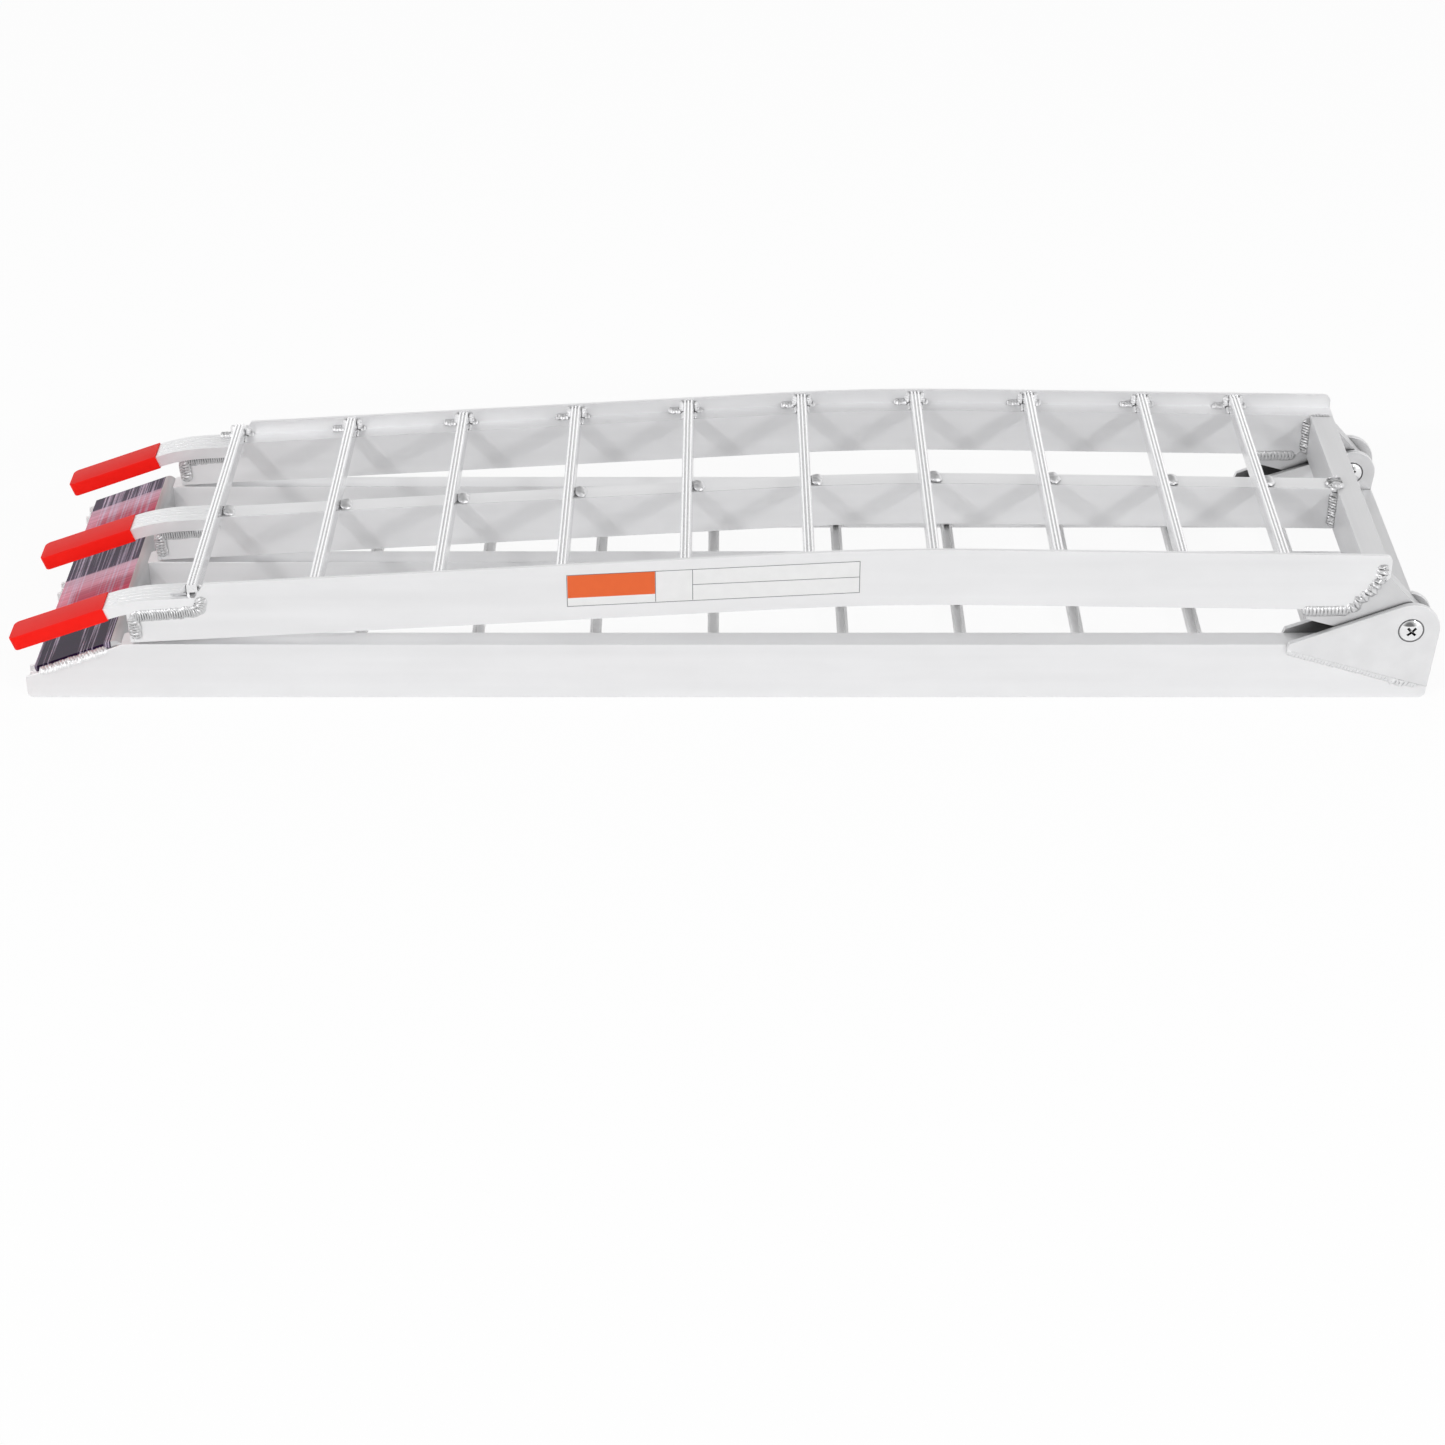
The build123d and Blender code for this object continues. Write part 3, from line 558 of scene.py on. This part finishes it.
def vinyl_sleeve(node, body):
    shape = bmesh.new()
    for vertex in nodes[node].data.vertices:
        shape.verts.new(vertex.co / MM)
    bmesh.ops.remove_doubles(shape, verts=shape.verts, dist=0.01)
    hull = bmesh.ops.convex_hull(shape, input=shape.verts)
    bmesh.ops.delete(shape, geom=only_vertices(hull["geom_interior"]), context="VERTS")
    bmesh.ops.dissolve_limit(shape, angle_limit=math.radians(2), verts=shape.verts, edges=shape.edges)
    mouth = max(shape.faces, key=lambda face: face.normal.x)
    rim = set(mouth.edges)
    crisp = [e for e in shape.edges if e not in rim and e.calc_face_angle(0) > math.radians(40)]
    bmesh.ops.bevel(shape, geom=crisp, offset=SLEEVE_EDGE, segments=3, profile=0.5, affect="EDGES")
    mouth = max(shape.faces, key=lambda face: face.normal.x)
    inward = -mouth.normal * SLEEVE_POCKET
    bmesh.ops.inset_region(shape, faces=[mouth], thickness=SLEEVE_WALL, use_even_offset=True)
    pocket = bmesh.ops.extrude_face_region(shape, geom=[mouth])
    bmesh.ops.delete(shape, geom=[mouth], context="FACES_ONLY")
    bmesh.ops.translate(shape, verts=only_vertices(pocket["geom"]), vec=inward)
    return make_piece(node + "_vinyl", shape, body, red_vinyl, [node], sharp_degrees=25)


for end in ("near", "centre", "far"):
    sleeve = vinyl_sleeve("finger_sleeve_" + end, "upper_section")
    print(sleeve.name, [round(side * 1000, 1) for side in sleeve.dimensions], "mm")

# %% [markdown]
# ### Pivot heads
# Each pivot is a chromed barrel with a low domed head, closed from inside by a screw with the same head. A dome is
# a surface of revolution, so it is drawn as rings round an axis, and the cross recess is pressed into the rings
# where they pass under it. The rings are close together near the middle, where the recess needs them.

# %% Domed heads with a cross recess
HEAD_RADIUS, HEAD_RIM, HEAD_RISE = 10.0, 0.25, 3.0
RIM_ROUNDING, RIM_DROP = 0.9, 0.2
RECESS_REACH, RECESS_HALF, RECESS_DEPTH, RECESS_WALL = 4.6, 0.95, 1.7, 0.35
STEPS = 72
CIRCLE = [(math.cos(math.tau * step / STEPS), math.sin(math.tau * step / STEPS)) for step in range(STEPS)]


def bridge(shape, first, second):
    """Joins two closed rings of equally many points by a band of faces."""
    for index in range(len(first)):
        after = (index + 1) % len(first)
        shape.faces.new((first[index], first[after], second[after], second[index]))


def head_height(radius):
    """Height of the domed surface, rounded off near the rim."""
    rise = HEAD_RISE - HEAD_RIM
    bulge = (HEAD_RADIUS ** 2 + rise ** 2) / (2 * rise)
    height = HEAD_RISE - bulge + math.sqrt(bulge ** 2 - radius ** 2)
    edge = max(0.0, radius - HEAD_RADIUS + RIM_ROUNDING) / RIM_ROUNDING
    return height - RIM_DROP * (1 - math.sqrt(max(0.0, 1 - edge ** 2)))


def recess(across, along):
    """Depth of the cross recess at a point, with steep walls and a rounded tip to each arm."""
    arm = min(max(abs(across) - RECESS_HALF, abs(along) - RECESS_REACH),
              max(abs(along) - RECESS_HALF, abs(across) - RECESS_REACH))
    return RECESS_DEPTH * min(1.0, max(0.0, -arm / RECESS_WALL))


def pivot_piece(node, outward, shank_radius, body):
    low, high = box_mm(node)
    axis_x, axis_z = (low.x + high.x) / 2, (low.z + high.z) / 2
    face_y = (high.y if outward > 0 else low.y) - outward * HEAD_RISE
    tail_y = low.y if outward > 0 else high.y
    radii = [0.25 * i for i in range(1, 21)] + [5.5, 6.2, 7.0, 8.0, 8.8, 9.2, 9.4, 9.6, 9.8, 9.93, HEAD_RADIUS]
    shape, rings = bmesh.new(), []
    for radius in radii:
        ring = []
        for cosine, sine in CIRCLE:
            u, v = radius * cosine, radius * sine
            along, across = (u + v) / math.sqrt(2), (u - v) / math.sqrt(2)
            lift = head_height(radius) - recess(across, along)
            ring.append(shape.verts.new((axis_x + u, face_y + outward * lift, axis_z + v)))
        rings.append(ring)
    for radius, y in ((HEAD_RADIUS, face_y), (shank_radius, face_y), (shank_radius, tail_y)):
        rings.append([shape.verts.new((axis_x + radius * cosine, y, axis_z + radius * sine))
                      for cosine, sine in CIRCLE])
    for inner, outer in zip(rings, rings[1:]):
        bridge(shape, inner, outer)
    shape.faces.new(rings[0])
    shape.faces.new(reversed(rings[-1]))
    return make_piece(node + "_chromed", shape, body, chrome, [node], sharp_degrees=50)


for node, outward, shank in (("pivot_barrel_near", -1, 5.98), ("pivot_barrel_far", 1, 5.98),
                             ("pivot_screw_near", 1, 3.9), ("pivot_screw_far", -1, 3.9)):
    pivot_piece(node, outward, shank, "lower_section")
print("pivot heads: 4, each", 2 * HEAD_RADIUS, "mm across")

# %% [markdown]
# The painted shadow ring under a head is flat with a rounded edge, 0.7 mm wide and 0.35 mm thick, on the plate's own
# face. It begins a little way in under the head's rim.

# %% Painted rim shadow rings
RIM_SHADOW_WIDTH, RIM_SHADOW_HEIGHT, RIM_SHADOW_TUCK = 0.7, 0.35, 0.05


def rim_shadow_ring(shape, node, plate, outward):
    """A ring on the outer face of a plate, round the head that sits on it."""
    low, high = box_mm(node)
    plate_low, plate_high = box_mm(plate)
    face_y = plate_high.y if outward > 0 else plate_low.y
    section = [(0.0, 0.0), (RIM_SHADOW_WIDTH, 0.0), (RIM_SHADOW_WIDTH * 0.8, RIM_SHADOW_HEIGHT * 0.8), (0.0, RIM_SHADOW_HEIGHT)]
    cuts = []
    for cosine, sine in CIRCLE:
        cuts.append([shape.verts.new(((low.x + high.x) / 2 + (HEAD_RADIUS - RIM_SHADOW_TUCK + out) * cosine,
                                      face_y + outward * lift,
                                      (low.z + high.z) / 2 + (HEAD_RADIUS - RIM_SHADOW_TUCK + out) * sine))
                     for out, lift in section])
    for step in range(len(cuts)):
        bridge(shape, cuts[step - 1], cuts[step])


rings_shape = bmesh.new()
for node, plate, outward in (("pivot_barrel_near", "clevis_plate_near_outer", -1),
                             ("pivot_screw_near", "clevis_plate_near_inner", 1),
                             ("pivot_barrel_far", "clevis_plate_far_outer", 1),
                             ("pivot_screw_far", "clevis_plate_far_inner", -1)):
    rim_shadow_ring(rings_shape, node, plate, outward)
rim_shadow_piece = make_piece("pivot_rim_shadow_rings", rings_shape, "lower_section", rim_shadow_film)
print(rim_shadow_piece.name, len(rim_shadow_piece.data.polygons), "faces")

# %% [markdown]
# ### Weld beads
# A TIG bead is a row of overlapping frozen pools: a rounded ridge whose top carries crescent ripples, each lagging at
# its edges, with rounded ends. So a bead is a section swept along a line. The section is a flat arc where the bead
# lies on a surface, and fills the corner where two surfaces meet. The ripple is a saw wave along the line that lags
# towards the edges, and a little noise keeps it hand-made. Ripples are 2 to 5 mm apart, so they are drawn true.

# %% Bead sweeping
POINTS_ROUND, RINGS_TO_A_RIPPLE, BEAD_ROOT = 10, 6, 0.4


def smooth_line(points, rounds=2):
    """Cuts the corners of a line of (place, outward direction) pairs, as a welder's hand does."""
    for _ in range(rounds):
        cut = [points[0]]
        for (a, a_out), (b, b_out) in zip(points, points[1:]):
            cut += [(a.lerp(b, 0.25), a_out.lerp(b_out, 0.25)), (a.lerp(b, 0.75), a_out.lerp(b_out, 0.75))]
        points = cut + [points[-1]]
    return points


def even_line(points, step):
    """The same line with its points a step apart."""
    spaced, carried = [], 0.0
    for (a, a_out), (b, b_out) in zip(points, points[1:]):
        length = (b - a).length
        while carried < length:
            spaced.append((a.lerp(b, carried / length), a_out.lerp(b_out, carried / length)))
            carried += step
        carried -= length
    return spaced + [points[-1]]


def add_bead(shape, places, outward, width, rise, ripple, corner=0.0, rough=0.1, depth=0.55):
    """Sweeps one bead, in millimetres. places and outward go in pairs; corner is 1 in a square corner, 0 on a flat."""
    if isinstance(outward[0], (int, float)):
        outward = [outward] * len(places)
    step = ripple / RINGS_TO_A_RIPPLE
    line = even_line(smooth_line([(Vector(p), Vector(n).normalized()) for p, n in zip(places, outward)]), step)
    total, rings = step * (len(line) - 1), []
    for number, (place, out) in enumerate(line):
        behind, ahead = line[max(0, number - 1)][0], line[min(len(line) - 1, number + 1)][0]
        forward = (ahead - behind).normalized()
        side = forward.cross(out).normalized()
        out = side.cross(forward).normalized()
        travelled = step * number
        from_end = min(travelled, total - travelled) / (width / 2)
        fullness = math.sqrt(max(0.02, 1 - max(0.0, 1 - from_end) ** 2))
        wander = noise.noise(place * 0.35) * rough * width
        ring = []
        for index in range(POINTS_ROUND):
            across = 2 * index / (POINTS_ROUND - 1) - 1  # from -1 at one edge of the bead to 1 at the other
            lag = 0.22 * (width / ripple) * across ** 2
            crest = 1 - depth * ((travelled / ripple + lag) % 1.0) ** 1.5
            lump = 1 + rough * 3 * noise.noise(place * 0.6 + side * across)
            height = math.sqrt(1 - across ** 2) * rise * crest * lump * fullness
            height += corner * width / 2 * fullness * (1 - 0.15 * (1 - crest))
            ring.append(shape.verts.new(place + side * (across * width / 2 * fullness + wander) + out * height))
        ring.append(shape.verts.new(place + side * wander - out * BEAD_ROOT))
        rings.append(ring)
    for first, second in zip(rings, rings[1:]):
        bridge(shape, first, second)
    shape.faces.new(rings[0])
    shape.faces.new(list(reversed(rings[-1])))
    return total


# The clean welds are the small beads that get the paler copy of the weld finish, which is painted light.
welded = {name: bmesh.new() for name in ("upper_welds", "lower_welds", "upper_clean_welds", "lower_clean_welds")}
bead_lengths = {name: [] for name in welded}


def weld(group, *args, **settings):
    bead_lengths[group].append(add_bead(welded[group], *args, **settings))


print("bead section:", POINTS_ROUND + 1, "points round,", RINGS_TO_A_RIPPLE, "rings to a ripple")

# %% [markdown]
# Under each finger a bead runs along both faces of the rail, turns the corner at the rail's end and goes down the
# joint with the end cap. On the outer faces it also loops up round the finger's square end.

# %% Welds at the fingers
cap_low, cap_high = box_mm("end_cap_centre")
RAIL_END, RAIL_FOOT = cap_high.x, cap_low.z
FINGER_END = box_mm("finger_centre")[1].x


def underside(node, x, y):
    return surface_mm(node, (x, y, 0), (0, 0, 1)).z


def weld_finger(finger, face_y, toward, probe_y, loops_up):
    """Welds one face of a rail to its finger. toward is the face's outward direction along Y."""
    start, middle, stop = [underside(finger, x, probe_y) for x in (RAIL_END + 2, RAIL_END + 26, FINGER_END - 5)]
    run = [(RAIL_END - 1, face_y, start - 3.5), (RAIL_END + 26, face_y, middle - 3.5),
           (FINGER_END - 6, face_y, stop - 3.0)]
    if loops_up:
        run += [(FINGER_END + 2, face_y, stop - 1), (FINGER_END + 5, face_y, stop + 5),
                (FINGER_END + 3, face_y, stop + 11)]
    weld("upper_welds", run, (0, toward, 0), width=10.5, rise=2.3, ripple=2.0, depth=0.5)
    down = [(RAIL_END - 1, face_y, start - 3), (RAIL_END + 0.8, face_y, start - 9),
            (RAIL_END + 1.5, face_y, RAIL_FOOT + 3)]
    weld("upper_welds", down, (-0.25, toward, 0), width=11.0, rise=2.2, ripple=2.6)


half_rail = (cap_high.y - cap_low.y) / 2
weld_finger("finger_near", -OUTER, -1, -INNER + 3, True)
weld_finger("finger_near", -INNER, 1, -INNER + 3, False)
weld_finger("finger_centre", -half_rail, -1, -half_rail - 2, False)
weld_finger("finger_centre", half_rail, 1, half_rail + 2, False)
weld_finger("finger_far", INNER, -1, INNER - 3, False)
weld_finger("finger_far", OUTER, 1, INNER - 3, True)
print("finger welds:", len(bead_lengths["upper_welds"]), "beads,", round(sum(bead_lengths["upper_welds"])), "mm")

# %% [markdown]
# Each rung is held at three places. At both ends a bead climbs each corner between rung and curb and trails along the
# curb's foot, further on the side away from the hinge. Where the rung crosses the centre rail there is one fat tack
# on the hinge side, two or three big crescents across the rail's top.

# %% Welds at the rungs
LONG_TRAIL, SHORT_TRAIL = 12.5, 6.0


def weld_rung(level, number, tread):
    """tread is 1 where the rungs stand up from their rails and -1 where they hang below them."""
    group = level + "_clean_welds"
    low, high = box_mm(f"{level}_rung_{number:02d}")
    middle, half, foot = (low.x + high.x) / 2, (high.x - low.x) / 2, low.z if tread > 0 else high.z
    for end in (-1, 1):
        for side in (-1, 1):
            corner_x, trail = middle + side * (half + 1.4), LONG_TRAIL if side < 0 else SHORT_TRAIL
            climb = [(corner_x, end * (CURB_INNER - 3.0), foot + tread * 0.8),
                     (corner_x, end * (CURB_INNER - 1.4), foot + tread * 4.0),
                     (corner_x - side * 0.6, end * (CURB_INNER - 0.9), foot + tread * 10.2)]
            weld(group, climb, (side, -end, tread * 0.3),
                 width=6.0, rise=1.3, ripple=2.4, corner=0.4, rough=0.16, depth=0.5)
            run = [(corner_x - side, end * (CURB_INNER - 1.6), foot + tread * 0.9),
                   (corner_x + side * trail, end * (CURB_INNER - 1.6), foot + tread * 0.9)]
            weld(group, run, (0, -end, tread),
                 width=5.4, rise=1.0, ripple=2.4, corner=0.4, rough=0.18, depth=0.5)
            foot_line = [(corner_x - side, end * (INNER + 1.5), foot + tread * 0.3),
                         (corner_x - side, end * (CURB_INNER - 3), foot + tread * 0.3)]
            weld(group, foot_line, (side, 0, tread), width=3.0, rise=0.5, ripple=2.4, corner=0.6, rough=0.15)
    beside = middle + half
    tack = [(beside + out, y, foot + tread * 0.8) for out, y in ((2.4, 8.0), (4.4, 3.5), (4.8, -3.0), (3.0, -7.5))]
    weld(group, tack, (0.25, 0, tread), width=11.0, rise=2.8, ripple=4.6, corner=0.22, rough=0.14, depth=0.7)


for number in range(1, 11):
    weld_rung("upper", number, 1)
    weld_rung("lower", number, -1)
print("rung welds:", len(bead_lengths["upper_clean_welds"]) + len(bead_lengths["lower_clean_welds"]), "beads")

# %% [markdown]
# At the hinge end, corner beads hold the cross tube between the rails, and one round blob covers the joint on top
# of the centre rail. The tongues carry the whole load, so they have the longest beads: an even one along the foot of
# the rail and a rough one, run uphill, along its slanted end. The rough one stays short of the rail's end, because
# when the ramp is opened flat that end almost meets the lower section.

# %% Welds at the hinge end
bar_low, bar_high = box_mm("upper_crossbar")
ledge_z = bar_high.z
for face_y, toward in ((-INNER, 1), (-half_rail, -1), (half_rail, 1), (INNER, -1)):
    joint = [(bar_low.x + 0.3, face_y, bar_low.z + 2), (bar_low.x + 0.3, face_y, ledge_z - 3)]
    weld("upper_welds", joint, (-1, toward, 0), width=9.5, rise=2.2, ripple=2.6, corner=0.8, depth=0.8)
blob = [(bar_low.x - 1.0, -10.5, ledge_z - 4.0), (bar_low.x - 1.0, -8.0, ledge_z),
        (bar_low.x - 1.0, 3.0, ledge_z + 0.5), (bar_low.x - 1.0, 7.5, ledge_z - 1.0)]
weld("upper_welds", blob, (-0.2, -0.35, 1), width=15.5, rise=5.2, ripple=5.0, rough=0.14, depth=0.7)
for end in (-1, 1):
    seam = [(bar_low.x + 1, end * INNER, ledge_z - 0.3), (bar_high.x - 3, end * INNER, ledge_z - 0.3)]
    weld("upper_welds", seam, (0, 0, 1), width=4.6, rise=1.0, ripple=2.6, rough=0.15)

tongue_start, rail_end = box_mm("tongue_near")[0].x, box_mm("upper_rail_near")[1].x
slope_foot_x = rail_end - 29.0
rail_foot_z = underside("upper_rail_near", slope_foot_x - 6, -OUTER + 5)
slope_top_z = ledge_z - 9.5
for end in (-1, 1):
    for face_y, toward in ((end * OUTER, end), (end * INNER, -end)):
        along = [(tongue_start - 1, face_y, rail_foot_z - 1.5), (slope_foot_x - 1, face_y, rail_foot_z - 1.0)]
        weld("upper_welds", along, (0, toward, 0), width=9.5, rise=2.2, ripple=3.0, rough=0.06)
    uphill = [(slope_foot_x - 4, end * OUTER, rail_foot_z + 0.5), (slope_foot_x + 4, end * OUTER, rail_foot_z + 4),
              (rail_end - 10.5, end * OUTER, slope_top_z - 6), (rail_end - 6.8, end * OUTER, slope_top_z + 3),
              (rail_end - 6.2, end * OUTER, slope_top_z + 13)]
    weld("upper_welds", uphill, (0, end, 0), width=9.0, rise=2.9, ripple=4.4, rough=0.3, depth=0.7)
print("hinge end of the upper section: rail foot at", round(rail_foot_z, 1), "mm, slant up to", round(slope_top_z, 1))

# %% [markdown]
# On the lower section the hinge plates are welded along their slanted lower edges and round their pointed ends. The
# ground plate is welded along its sides, where it stands in a little from the faces of the rails, and the cross tube
# is welded to the centre rail.

# %% Welds on the lower section
clevis_low, clevis_high = box_mm("clevis_plate_near_outer")
edge_stop = clevis_high.x - 12


def clevis_edge(x):
    """Height of the hinge plate's slanted lower edge."""
    return underside("clevis_plate_near_outer", x, clevis_low.y + 1)


for end in (-1, 1):
    for face_y, toward in ((end * OUTER, end), (end * INNER, -end)):
        edge = [(x, face_y + toward * 0.8, clevis_edge(x) - 2.8)
                for x in (clevis_low.x + 0.8, clevis_low.x + 6, clevis_low.x + 60, edge_stop)]
        lean = [(-0.6, toward, -0.3)] + [(-0.15, toward, -0.4)] * 3
        weld("lower_clean_welds", edge, lean, width=8.0, rise=2.2, ripple=2.8, corner=0.15, rough=0.08, depth=0.4)
    spot = [(x, end * (OUTER + 1), clevis_edge(x) - 3.0) for x in (clevis_high.x - 36, clevis_high.x - 19)]
    weld("lower_clean_welds", spot, (-0.15, end, -0.4), width=9.0, rise=2.2, ripple=3.4, corner=0.25, rough=0.3)
print("hinge plate's lower edge from", round(clevis_edge(clevis_low.x + 1), 1), "down to",
      round(clevis_edge(edge_stop), 1), "mm")

ground_corner = box_mm("ground_plate")[0]
for end in (-1, 1):
    ends = []
    for x in (ground_corner.x + 4, ground_corner.x + 62):
        top = surface_mm("lower_rail_near", (x, -OUTER + 1.2, 200), (0, 0, -1))
        ends.append((x, end * -ground_corner.y + end * 0.8, top.z - 0.8))
    weld("lower_clean_welds", ends, (-0.25, end * 1.1, 0.9), width=8.6, rise=1.6, ripple=2.6, corner=0.3, rough=0.12)

tube_low, tube_high = box_mm("lower_crossbar")
for face_y, toward in ((-half_rail, -1), (half_rail, 1)):
    joint = [(tube_low.x, face_y, tube_low.z + 3), (tube_low.x, face_y, tube_high.z - 3)]
    weld("lower_welds", joint, (-1, toward, 0), width=9.5, rise=2.2, ripple=2.6, corner=0.8, depth=0.8)

for name, shape in welded.items():
    piece = make_piece(name, shape, name[:5] + "_section",
                       paler_lit_weld_metal if "clean" in name else weld_metal, sharp_degrees=70)
    print(piece.name, len(bead_lengths[name]), "beads,", round(sum(bead_lengths[name])), "mm,",
          len(piece.data.polygons), "faces")

# %% [markdown]
# ### Label
# A printed film label is stuck on the outer face of the near rail, level with the rail and not with the floor. Its
# fields are left blank. Each field is a thin slab: the film is 0.15 mm thick with rounded corners, and the ink stands a
# little prouder. Heights are measured down from the rail's own upper edge, so the label follows the slope.

# %% Label
def printed_film(name, hex_value, worn):
    material, tree = new_material(name)
    place = add_node(tree, "ShaderNodeTexCoord").outputs["Object"]
    fading = add_node(tree, "ShaderNodeTexNoise", {"Scale": 1000 / 9, "Detail": 3.0}, {"Vector": place})
    tone = add_node(tree, "ShaderNodeMix", {"data_type": "RGBA", 6: colour(hex_value), 7: colour(worn)},
                    {0: fading.outputs[0]})
    film = add_node(tree, "ShaderNodeBsdfPrincipled", {"Roughness": 0.42, "IOR": 1.49, "Specular IOR Level": 0.3},
                    {"Base Color": tone.outputs[2]})
    finish_material(tree, film.outputs[0])
    return material


def curb_top(x):
    return surface_mm("upper_rail_near", (x, -OUTER + 1.5, 300), (0, 0, -1)).z


def add_field(shape, start, stop, top, bottom, lift, corner):
    """A slab of film between two X values and two drops below the curb's top, in millimetres."""
    outline = []
    for x, drop, inward, turn in ((stop, top, (-1, 1), 0), (start, top, (1, 1), 90),
                                  (start, bottom, (1, -1), 180), (stop, bottom, (-1, -1), 270)):
        for step in range(5 if corner else 1):
            angle = math.radians(turn + 22.5 * step)
            outline.append((x + corner * (inward[0] + math.cos(angle)), drop + corner * (inward[1] - math.sin(angle))))
    front, back = [[shape.verts.new((x, y, curb_top(x) - drop)) for x, drop in outline]
                   for y in (-OUTER - lift, -OUTER)]
    shape.faces.new(front)
    shape.faces.new(reversed(back))
    bridge(shape, front, back)


LABEL_START, LABEL_STOP, LABEL_TOP, LABEL_BOTTOM = -126.0, 111.0, 8.5, 38.0
FIRST_RULE, SECOND_RULE, LEVEL_RULE, RULE_WIDTH = -54.3, -24.3, 23.0, 0.5
INSIDE = (LABEL_TOP + 0.9, LABEL_BOTTOM - 0.9)

# name: (ink, colour, worn colour, thickness, corner radius, [(start, stop, top, bottom), ...])
fields = {
    "label_film": ("polyester_label_film_white", "#EFEFEF", "#E6E6E6", 0.15, 0.6,
                   [(LABEL_START, LABEL_STOP, LABEL_TOP, LABEL_BOTTOM)]),
    "label_orange_field": ("screen_ink_orange", "#EA6A36", "#E46432", 0.18, 0.0,
                           [(LABEL_START + 0.9, FIRST_RULE - 0.1, LABEL_TOP + 0.9, LABEL_TOP + 21.4)]),
    "label_rules": ("screen_ink_grey", "#5A5B5E", "#66676A", 0.18, 0.0,
                    [(LABEL_START + 0.2, LABEL_STOP - 0.2, LABEL_TOP + 0.3, LABEL_TOP + 0.8),
                     (LABEL_START + 0.2, LABEL_STOP - 0.2, LABEL_BOTTOM - 0.8, LABEL_BOTTOM - 0.3),
                     (LABEL_START + 0.2, LABEL_START + 0.7, *INSIDE),
                     (FIRST_RULE, FIRST_RULE + RULE_WIDTH, *INSIDE),
                     (SECOND_RULE, SECOND_RULE + RULE_WIDTH, *INSIDE),
                     (SECOND_RULE + 0.6, LABEL_STOP - 0.8, LEVEL_RULE, LEVEL_RULE + RULE_WIDTH),
                     (LABEL_STOP - 0.7, LABEL_STOP - 0.2, *INSIDE)]),
}
for name, (ink, hex_value, worn, lift, corner, areas) in fields.items():
    shape = bmesh.new()
    for start, stop, top, bottom in areas:
        add_field(shape, start, stop, top, bottom, lift, corner)
    make_piece(name, shape, "upper_section", printed_film(ink, hex_value, worn))
print("label", LABEL_STOP - LABEL_START, "x", round(LABEL_BOTTOM - LABEL_TOP, 1), "mm")
